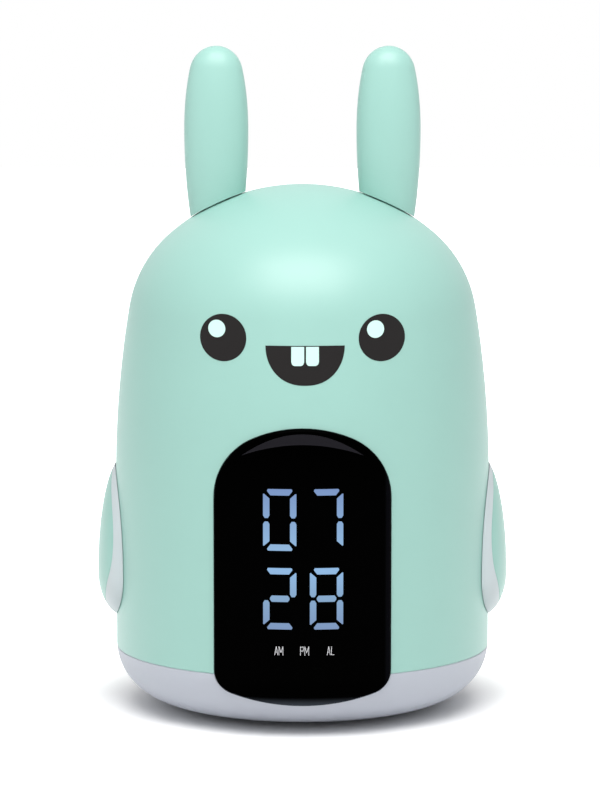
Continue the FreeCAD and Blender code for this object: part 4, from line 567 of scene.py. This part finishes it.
def lit_material():
    """Light of the display's bars: bluer at the top and bottom of the two rows, paler
    where they meet, by height alone."""
    material, tree, shader, where = started("lit_bar")
    spread = tree.nodes.new("ShaderNodeMapRange")
    spread.inputs["From Min"].default_value = MINUTE_ROW - DIGIT_HEIGHT / 2
    spread.inputs["From Max"].default_value = HOUR_ROW + DIGIT_HEIGHT / 2
    tree.links.new(axis_of(tree, where, "Z"), spread.inputs["Value"])
    ramp = tree.nodes.new("ShaderNodeValToRGB")
    stops = ramp.color_ramp.elements
    lowest, *between, highest = LIT_STOPS
    stops[0].position, stops[0].color = lowest
    stops[1].position, stops[1].color = highest
    for place, colour in between:
        stops.new(place).color = colour
    tree.links.new(spread.outputs["Result"], ramp.inputs["Fac"])
    tree.links.new(ramp.outputs["Color"], shader.inputs["Emission Color"])
    shader.inputs["Emission Strength"].default_value = 1.0
    shader.inputs["Base Color"].default_value = LIT_BASE
    shader.inputs["Roughness"].default_value = 0.5
    shader.inputs["Specular IOR Level"].default_value = LIT_SPECULAR
    return material


# Painted light on the window: a faint highlight band at its right-hand edge, and a slate
# reflection of the floor painted where its rim faces down
HIGHLIGHT_START, HIGHLIGHT_END = 0.0256, 0.0266
RIM_REFLECTION_START, RIM_REFLECTION_FULL = 0.39, 0.56
WINDOW_ROUGHNESS, WINDOW_SPECULAR = 0.12, 0.004
WINDOW_BLACK, HIGHLIGHT_COLOUR, RIM_REFLECTION = linear(0, 0, 0), linear(7, 7, 10), linear(58, 63, 70)


def window_material():
    """Black gloss acrylic. Where the rounded rim faces down it is painted slate, a painted
    reflection of the floor below, and a painted highlight, a faint lighter band, runs down the
    right-hand edge."""
    material, tree, shader, where = started("window_black")
    facing = tree.nodes.new("ShaderNodeTexCoord").outputs["Normal"]
    down = math_node(tree, "MULTIPLY", axis_of(tree, facing, "Z"), -1.0)
    painted_highlight = rise_between(tree, axis_of(tree, where, "X"), HIGHLIGHT_START, HIGHLIGHT_END)
    # The rim is painted slate where it faces down: a painted reflection of the floor
    rim = rise_between(tree, down, RIM_REFLECTION_START, RIM_REFLECTION_FULL)
    colour = mixed(tree, rim, mixed(tree, painted_highlight, WINDOW_BLACK, HIGHLIGHT_COLOUR), RIM_REFLECTION)
    height = moulded(tree, shader, where, colour, WINDOW_ROUGHNESS, 0.0)
    bumped(tree, shader, height, GLOSS_DEPTH)
    shader.inputs["Specular IOR Level"].default_value = WINDOW_SPECULAR
    return material


mint = plastic("mint_plastic", linear(149, 193, 183), 0.40)
grey = plastic("grey_plastic", linear(181, 185, 195), 0.45)
ring_grey = plastic("ring_grey", linear(191, 200, 203), 0.45)
black = plastic("black_plastic", linear(24, 25, 27), 0.45)
window_black = window_material()
# Grey of the painted reflection on the window
painted_reflection_grey = plastic("painted_reflection_grey", linear(29, 28, 32), 0.3, specular=0.02, depth=GLOSS_DEPTH)
print_black = plastic("print_black", linear(30, 28, 28), 0.5, specular=0.12, drift=0.02)
print_mint = plastic("print_mint", linear(200, 236, 227), 0.40, drift=0.02)
mark_white = plastic("mark_white", linear(205, 205, 208), 0.45, drift=0.02)
white = plastic("white_plastic", linear(232, 233, 230), 0.45)
opal = plastic("opal_plastic", linear(240, 240, 236), 0.55)
rubber = plastic("rubber", linear(46, 47, 50), 0.75, specular=0.3, depth=0.00001)
paper = plastic("paper_cone", linear(38, 36, 35), 0.85, specular=0.2, depth=0.00002)
component = plastic("component_black", linear(30, 30, 32), 0.5)
ribbon = two_tone("ribbon", board_tracks, linear(196, 128, 44), linear(150, 92, 30), 0.4)
board = two_tone("circuit_board", board_tracks, linear(28, 92, 56), linear(52, 120, 74), 0.35)
cell = two_tone("battery_sleeve", cell_band, linear(32, 33, 36), linear(178, 118, 58), 0.3)
steel = metal("steel", (0.62, 0.62, 0.61, 1.0), 0.3)
spring_steel = metal("spring_steel", (0.50, 0.50, 0.52, 1.0), 0.25)
ferrite = metal("magnet", (0.10, 0.10, 0.11, 1.0), 0.55)
lit = lit_material()

FINISHES = {
    "mint_plastic": mint,
    "grey_plastic": grey,
    "window": window_black,
    "black_plastic": black,
    "lit_segment": lit,
    "board": board,
    "ribbon": ribbon,
    "steel": steel,
    "spring_steel": spring_steel,
    "magnet": ferrite,
    "paper_cone": paper,
    "cell": cell,
    "rubber": rubber,
    "white_plastic": white,
    "diffuser": opal,
    "component": component,
}
for part in frame["record"]["subparts"]:
    mesh = nodes[part["node"]].data
    mesh.materials.clear()
    mesh.materials.append(FINISHES[part["material_slot"]])

# Shells whose curved faces take the true surface's shading

smoothed("dome_shell", mint, "case", on_body(0.0))
smoothed("base_tray", grey, "case", on_body(0.0))
smoothed("display_window", window_black, "case", on_body(WINDOW_PROUD))
smoothed("rear_panel", grey, "case", on_body(WINDOW_PROUD), PANEL_ANGLE)
smoothed("screw_caps", grey, "case", on_body(0.0))
paw_halves = (PAW_BULGE, PAW_HALF_WIDTH, PAW_RISE, PAW_DROP)
for side, tag in SIDES:
    ear_centre = (EAR_PLACE * side, 0.0, EAR_HEIGHT)
    paw_centre = (PAW_PLACE * side, 0.0, PAW_HEIGHT)
    on_paw = on_oval(paw_centre, paw_halves)
    smoothed(f"ear_{tag}", mint, "case", on_ear(ear_centre))
    smoothed(f"paw_ring_{tag}", ring_grey, "case", on_paw)
    smoothed(f"paw_key_{tag}", mint, f"paw_key_{tag}", on_paw)

# Face printed on the dome


def disc(centre, radius, cells=24):
    """A round patch from a square grid of u and v between -1 and 1: across by the radius
    times u * (1 - v^2 / 2)^(1/2), and up by the same with u and v exchanged."""
    share = np.sin(np.linspace(-np.pi / 2, np.pi / 2, cells + 1))
    u, v = np.meshgrid(share, share)
    x = centre[0] + radius * u * np.sqrt(1 - v**2 / 2)
    z = centre[1] + radius * v * np.sqrt(1 - u**2 / 2)
    return np.stack([x, z], axis=-1)


def bowl_patch(middle, top, half_width, depth, rows=16, columns=64):
    """A patch with a straight top whose lower edge is half a superellipse: its depth at a
    share u of the half width is depth * (1 - |u|^p)^(1/2), p being the smile's power."""
    share = np.sin(np.linspace(-np.pi / 2, np.pi / 2, columns + 1))
    down, along = np.meshgrid(np.linspace(0.0, 1.0, rows + 1), share, indexing="ij")
    deep = depth * np.sqrt(np.clip(1 - np.abs(along) ** SMILE_POWER, 0.0, None))
    return np.stack([middle + half_width * along, top - deep * down], axis=-1)


def tooth(left, right, top, bottom, bend, rows=12, columns=16):
    """A patch with straight sides and top and with two lower corners of one radius: near a
    side the lower edge rises by bend minus the leg of the corner's circle."""
    x = np.linspace(left, right, columns + 1)
    inset = np.clip(bend - np.minimum(x - left, right - x), 0.0, None)
    foot = bottom + bend - np.sqrt(np.clip(bend**2 - inset**2, 0.0, None))
    down = np.linspace(0.0, 1.0, rows + 1)[:, None]
    z = top + (foot - top) * down
    return np.stack([np.broadcast_to(x, z.shape), z], axis=-1)


for side, tag in SIDES:
    eye = (EYE_PLACE * side, EYE_HEIGHT)
    glint = (eye[0] + GLINT_SHIFT[0], eye[1] + GLINT_SHIFT[1])
    printed(f"eye_{tag}", [disc(eye, EYE_RADIUS)], 0.0, print_black)
    printed(f"eye_glint_{tag}", [disc(glint, GLINT_RADIUS)], PRINT_LIFT, print_mint)
smile = bowl_patch(SMILE_MIDDLE, SMILE_TOP, SMILE_HALF_WIDTH, SMILE_DEPTH)
printed("smile", [smile], 0.0, print_black)
teeth = []
for side in (-1, 1):
    reach = TOOTH_GAP / 2, TOOTH_GAP / 2 + TOOTH_WIDTH
    left, right = sorted(SMILE_MIDDLE + side * way for way in reach)
    teeth.append(tooth(left, right, SMILE_TOP - TOOTH_INSET, SMILE_TOP - TOOTH_FOOT, TOOTH_BEND))
printed("teeth", teeth, PRINT_LIFT, print_mint)

# Digits, small marks and a painted reflection on the display window

# The bars of each figure go round from a at the top to f, and g is the middle one. An end is
# pairs of a place across the bar and the bar's reach there.

LIT = {"0": "abcdef", "7": "abc", "2": "abdeg", "8": "abcdefg"}
OUTER_END = ((-1.0, 0.00290), (0.35, 0.00395), (0.8, 0.00385), (1.0, 0.00360))
MIDDLE_END = ((-1.0, 0.00250), (-0.3, 0.00305), (0.3, 0.00305), (1.0, 0.00250))
CORNER_END = ((-1.0, 0.00235), (0.7, 0.00385), (1.0, 0.00375))
BLUNT_END = ((-1.0, 0.00300), (-0.5, 0.00380), (0.5, 0.00380), (1.0, 0.00300))


def bar_patch(first, second, columns=12, rows=20):
    """A bar about the origin along its first axis. Each end is a list of pairs: a place
    across the bar, from -1 at its inner edge to 1 at its outer one, and the reach there."""
    across = np.sin(np.linspace(-np.pi / 2, np.pi / 2, rows + 1))
    back = np.interp(across, *np.transpose(first))
    ahead = np.interp(across, *np.transpose(second))
    share = np.linspace(0.0, 1.0, columns + 1)
    x = -back[:, None] + (back + ahead)[:, None] * share
    z = np.broadcast_to(across[:, None] * STROKE / 2, x.shape)
    return np.stack([x, z], axis=-1)


def digit_bars(figure, x, z):
    """The lit bars of one figure about its middle. A bar is turned by quarter turns so that
    its outer edge looks away from the figure's middle."""
    half_width = (DIGIT_WIDTH - STROKE) / 2
    half_height = (DIGIT_HEIGHT - STROKE) / 2
    flat = bar_patch(OUTER_END, OUTER_END)
    middle = bar_patch(MIDDLE_END, MIDDLE_END)
    corner_first = bar_patch(CORNER_END, BLUNT_END)
    corner_last = bar_patch(BLUNT_END, CORNER_END)
    shapes = {
        "a": (flat, 0, 0.0, half_height),
        "g": (middle, 0, 0.0, 0.0),
        "d": (flat, 2, 0.0, -half_height),
        "b": (corner_first, 3, half_width, half_height / 2),
        "c": (corner_last, 3, half_width, -half_height / 2),
        "f": (corner_last, 1, -half_width, half_height / 2),
        "e": (corner_first, 1, -half_width, -half_height / 2),
    }
    bars = []
    for letter in LIT[figure]:
        bar, turns, across, up = shapes[letter]
        angle = turns * math.pi / 2
        spin = np.array([[math.cos(angle), -math.sin(angle)], [math.sin(angle), math.cos(angle)]])
        bars.append(bar @ spin.T + np.array([x + across, z + up]))
    return bars


for tag, figures, row in (("hours", "07", HOUR_ROW), ("minutes", "28", MINUTE_ROW)):
    for column, figure in enumerate(figures):
        x = DIGIT_SHIFT + DIGIT_PITCH * (column - 0.5)
        name = f"digit_{tag}_{'left' if column == 0 else 'right'}"
        printed(name, digit_bars(figure, x, row), WINDOW_PROUD, lit)

# A stroke runs between two points, given as shares of the letter's width and height

LETTERS = {
    "A": ((0.0, 0.0, 0.5, 1.0), (0.5, 1.0, 1.0, 0.0), (0.2, 0.35, 0.8, 0.35)),
    "M": ((0.0, 0.0, 0.0, 1.0), (0.0, 1.0, 0.5, 0.3), (0.5, 0.3, 1.0, 1.0), (1.0, 1.0, 1.0, 0.0)),
    "P": (
        (0.0, 0.0, 0.0, 1.0),
        (0.0, 0.95, 0.9, 0.95),
        (0.9, 0.95, 0.9, 0.5),
        (0.9, 0.5, 0.0, 0.5),
    ),
    "L": ((0.0, 1.0, 0.0, 0.0), (0.0, 0.04, 0.9, 0.04)),
}


def stroke_patch(start, finish):
    """A straight line of one width: half the stroke to both sides of each end."""
    run = finish - start
    beside = np.array([-run[1], run[0]]) / np.hypot(*run) * LETTER_STROKE / 2
    return np.array([[start + beside, finish + beside], [start - beside, finish - beside]])


for word, left in MARKS:
    strokes = []
    pen = left
    for letter in word:
        width = LETTER_WIDTHS[letter]
        corner = np.array([pen, MARK_ROW - MARK_HEIGHT / 2])
        for ends in LETTERS[letter]:
            start, finish = np.reshape(ends, (2, 2)) * (width, MARK_HEIGHT) + corner
            strokes.append(stroke_patch(start, finish))
        pen += width + LETTER_GAP
    printed(f"mark_{word.lower()}", strokes, WINDOW_PROUD, mark_white)


def crescent(half_width, top, sag_top, sag_bottom, height, columns=48, rows=6):
    """A band between two arcs that meet at both ends: each edge drops from its middle by
    its sag times the square of the share of the half width."""
    share = np.linspace(-1.0, 1.0, columns + 1)
    upper = top - sag_top * share**2
    lower = top - height - sag_bottom * share**2
    down = np.linspace(0.0, 1.0, rows + 1)[:, None]
    z = upper + (lower - upper) * down
    return np.stack([np.broadcast_to(share * half_width, z.shape), z], axis=-1)


# The painted reflection: a grey crescent near the window's top, drawn like a print
painted_reflection = crescent(REFLECTION_HALF_WIDTH, REFLECTION_TOP, REFLECTION_SAG_TOP, REFLECTION_SAG_BOTTOM, REFLECTION_HEIGHT)
printed("window_painted_reflection", [painted_reflection], WINDOW_PROUD, painted_reflection_grey)

# Floor, lamps, backdrop and camera

FLOOR_HALF, FLOOR_LINES = 3.0, 9
FLOOR_COLOUR, FLOOR_ROUGHNESS = (0.93, 0.93, 0.93, 1.0), 0.9
LIGHT_START, LIGHT_FULL = 0.045, 0.12
WHITE = (1.0, 1.0, 1.0, 1.0)


def backdrop_material():
    """White floor, matt. Away from the object it has its own light for the camera and for
    reflections, rising smoothly between two distances from the middle."""
    material, tree, shader, where = started("white_floor")
    moulded(tree, shader, where, FLOOR_COLOUR, FLOOR_ROUGHNESS, 0.0)
    shader.inputs["Specular IOR Level"].default_value = 0.0
    far = tree.nodes.new("ShaderNodeVectorMath")
    far.operation = "LENGTH"
    tree.links.new(where, far.inputs[0])
    fade = rise_between(tree, far.outputs["Value"], LIGHT_START, LIGHT_FULL)
    shader.inputs["Emission Color"].default_value = WHITE
    own_light = math_node(tree, "MULTIPLY", seen_or_mirrored(tree), fade)
    tree.links.new(own_light, shader.inputs["Emission Strength"])
    return material


steps = np.linspace(-FLOOR_HALF, FLOOR_HALF, FLOOR_LINES)
floor_x, floor_y = np.meshgrid(steps, steps)
floor_points = np.stack([floor_x.ravel(), floor_y.ravel(), np.zeros(floor_x.size)], axis=1)
floor_faces = grid_faces(FLOOR_LINES, FLOOR_LINES)
floor = placed("floor", new_mesh("floor", floor_points, floor_faces, backdrop_material()))

# Each lamp: its name, place, width, height and power

MIDDLE = Vector((0.0, 0.0, 0.10))
LAMPS = (
    ("lamp_left", (-1.05, -0.45, 0.45), 0.60, 1.10, 0.65),
    ("lamp_right", (1.05, -0.45, 0.45), 0.60, 1.10, 0.30),
    ("lamp_top", (0.0, -0.38, 0.72), 0.60, 0.45, 5.4),
)
for name, place, width, height, power in LAMPS:
    light = bpy.data.lights.new(name, "AREA")
    light.shape = "RECTANGLE"
    light.size = width
    light.size_y = height
    light.energy = power
    item = placed(name, light)
    item.location = place
    item.rotation_euler = (MIDDLE - Vector(place)).to_track_quat("-Z", "Y").to_euler()

# The sky lights the scene at its ambient strength, and looks white itself

AMBIENT = 0.55
world = bpy.data.worlds.new("studio")
bpy.context.scene.world = world
world.use_nodes = True
sky = world.node_tree
ambient = sky.nodes["Background"]
extra = math_node(sky, "MULTIPLY", seen_or_mirrored(sky), 1.0 - AMBIENT)
ambient.inputs["Color"].default_value = WHITE
sky.links.new(math_node(sky, "ADD", extra, AMBIENT), ambient.inputs["Strength"])

CAMERA_PLACE, CAMERA_PITCH = (-0.00078, -1.2, 0.2461), 0.120
CAMERA_LENS, CAMERA_SENSOR, CAMERA_CLIP = 168.14, 36.0, (0.01, 50.0)
camera_data = bpy.data.cameras.new("camera")
camera_data.lens = CAMERA_LENS
camera_data.sensor_width = CAMERA_SENSOR
camera_data.clip_start, camera_data.clip_end = CAMERA_CLIP
camera = placed("camera", camera_data)
camera.location = CAMERA_PLACE
camera.rotation_euler = (math.pi / 2 - CAMERA_PITCH, 0.0, 0.0)
bpy.context.scene.camera = camera
bpy.context.scene.view_settings.view_transform = "Standard"
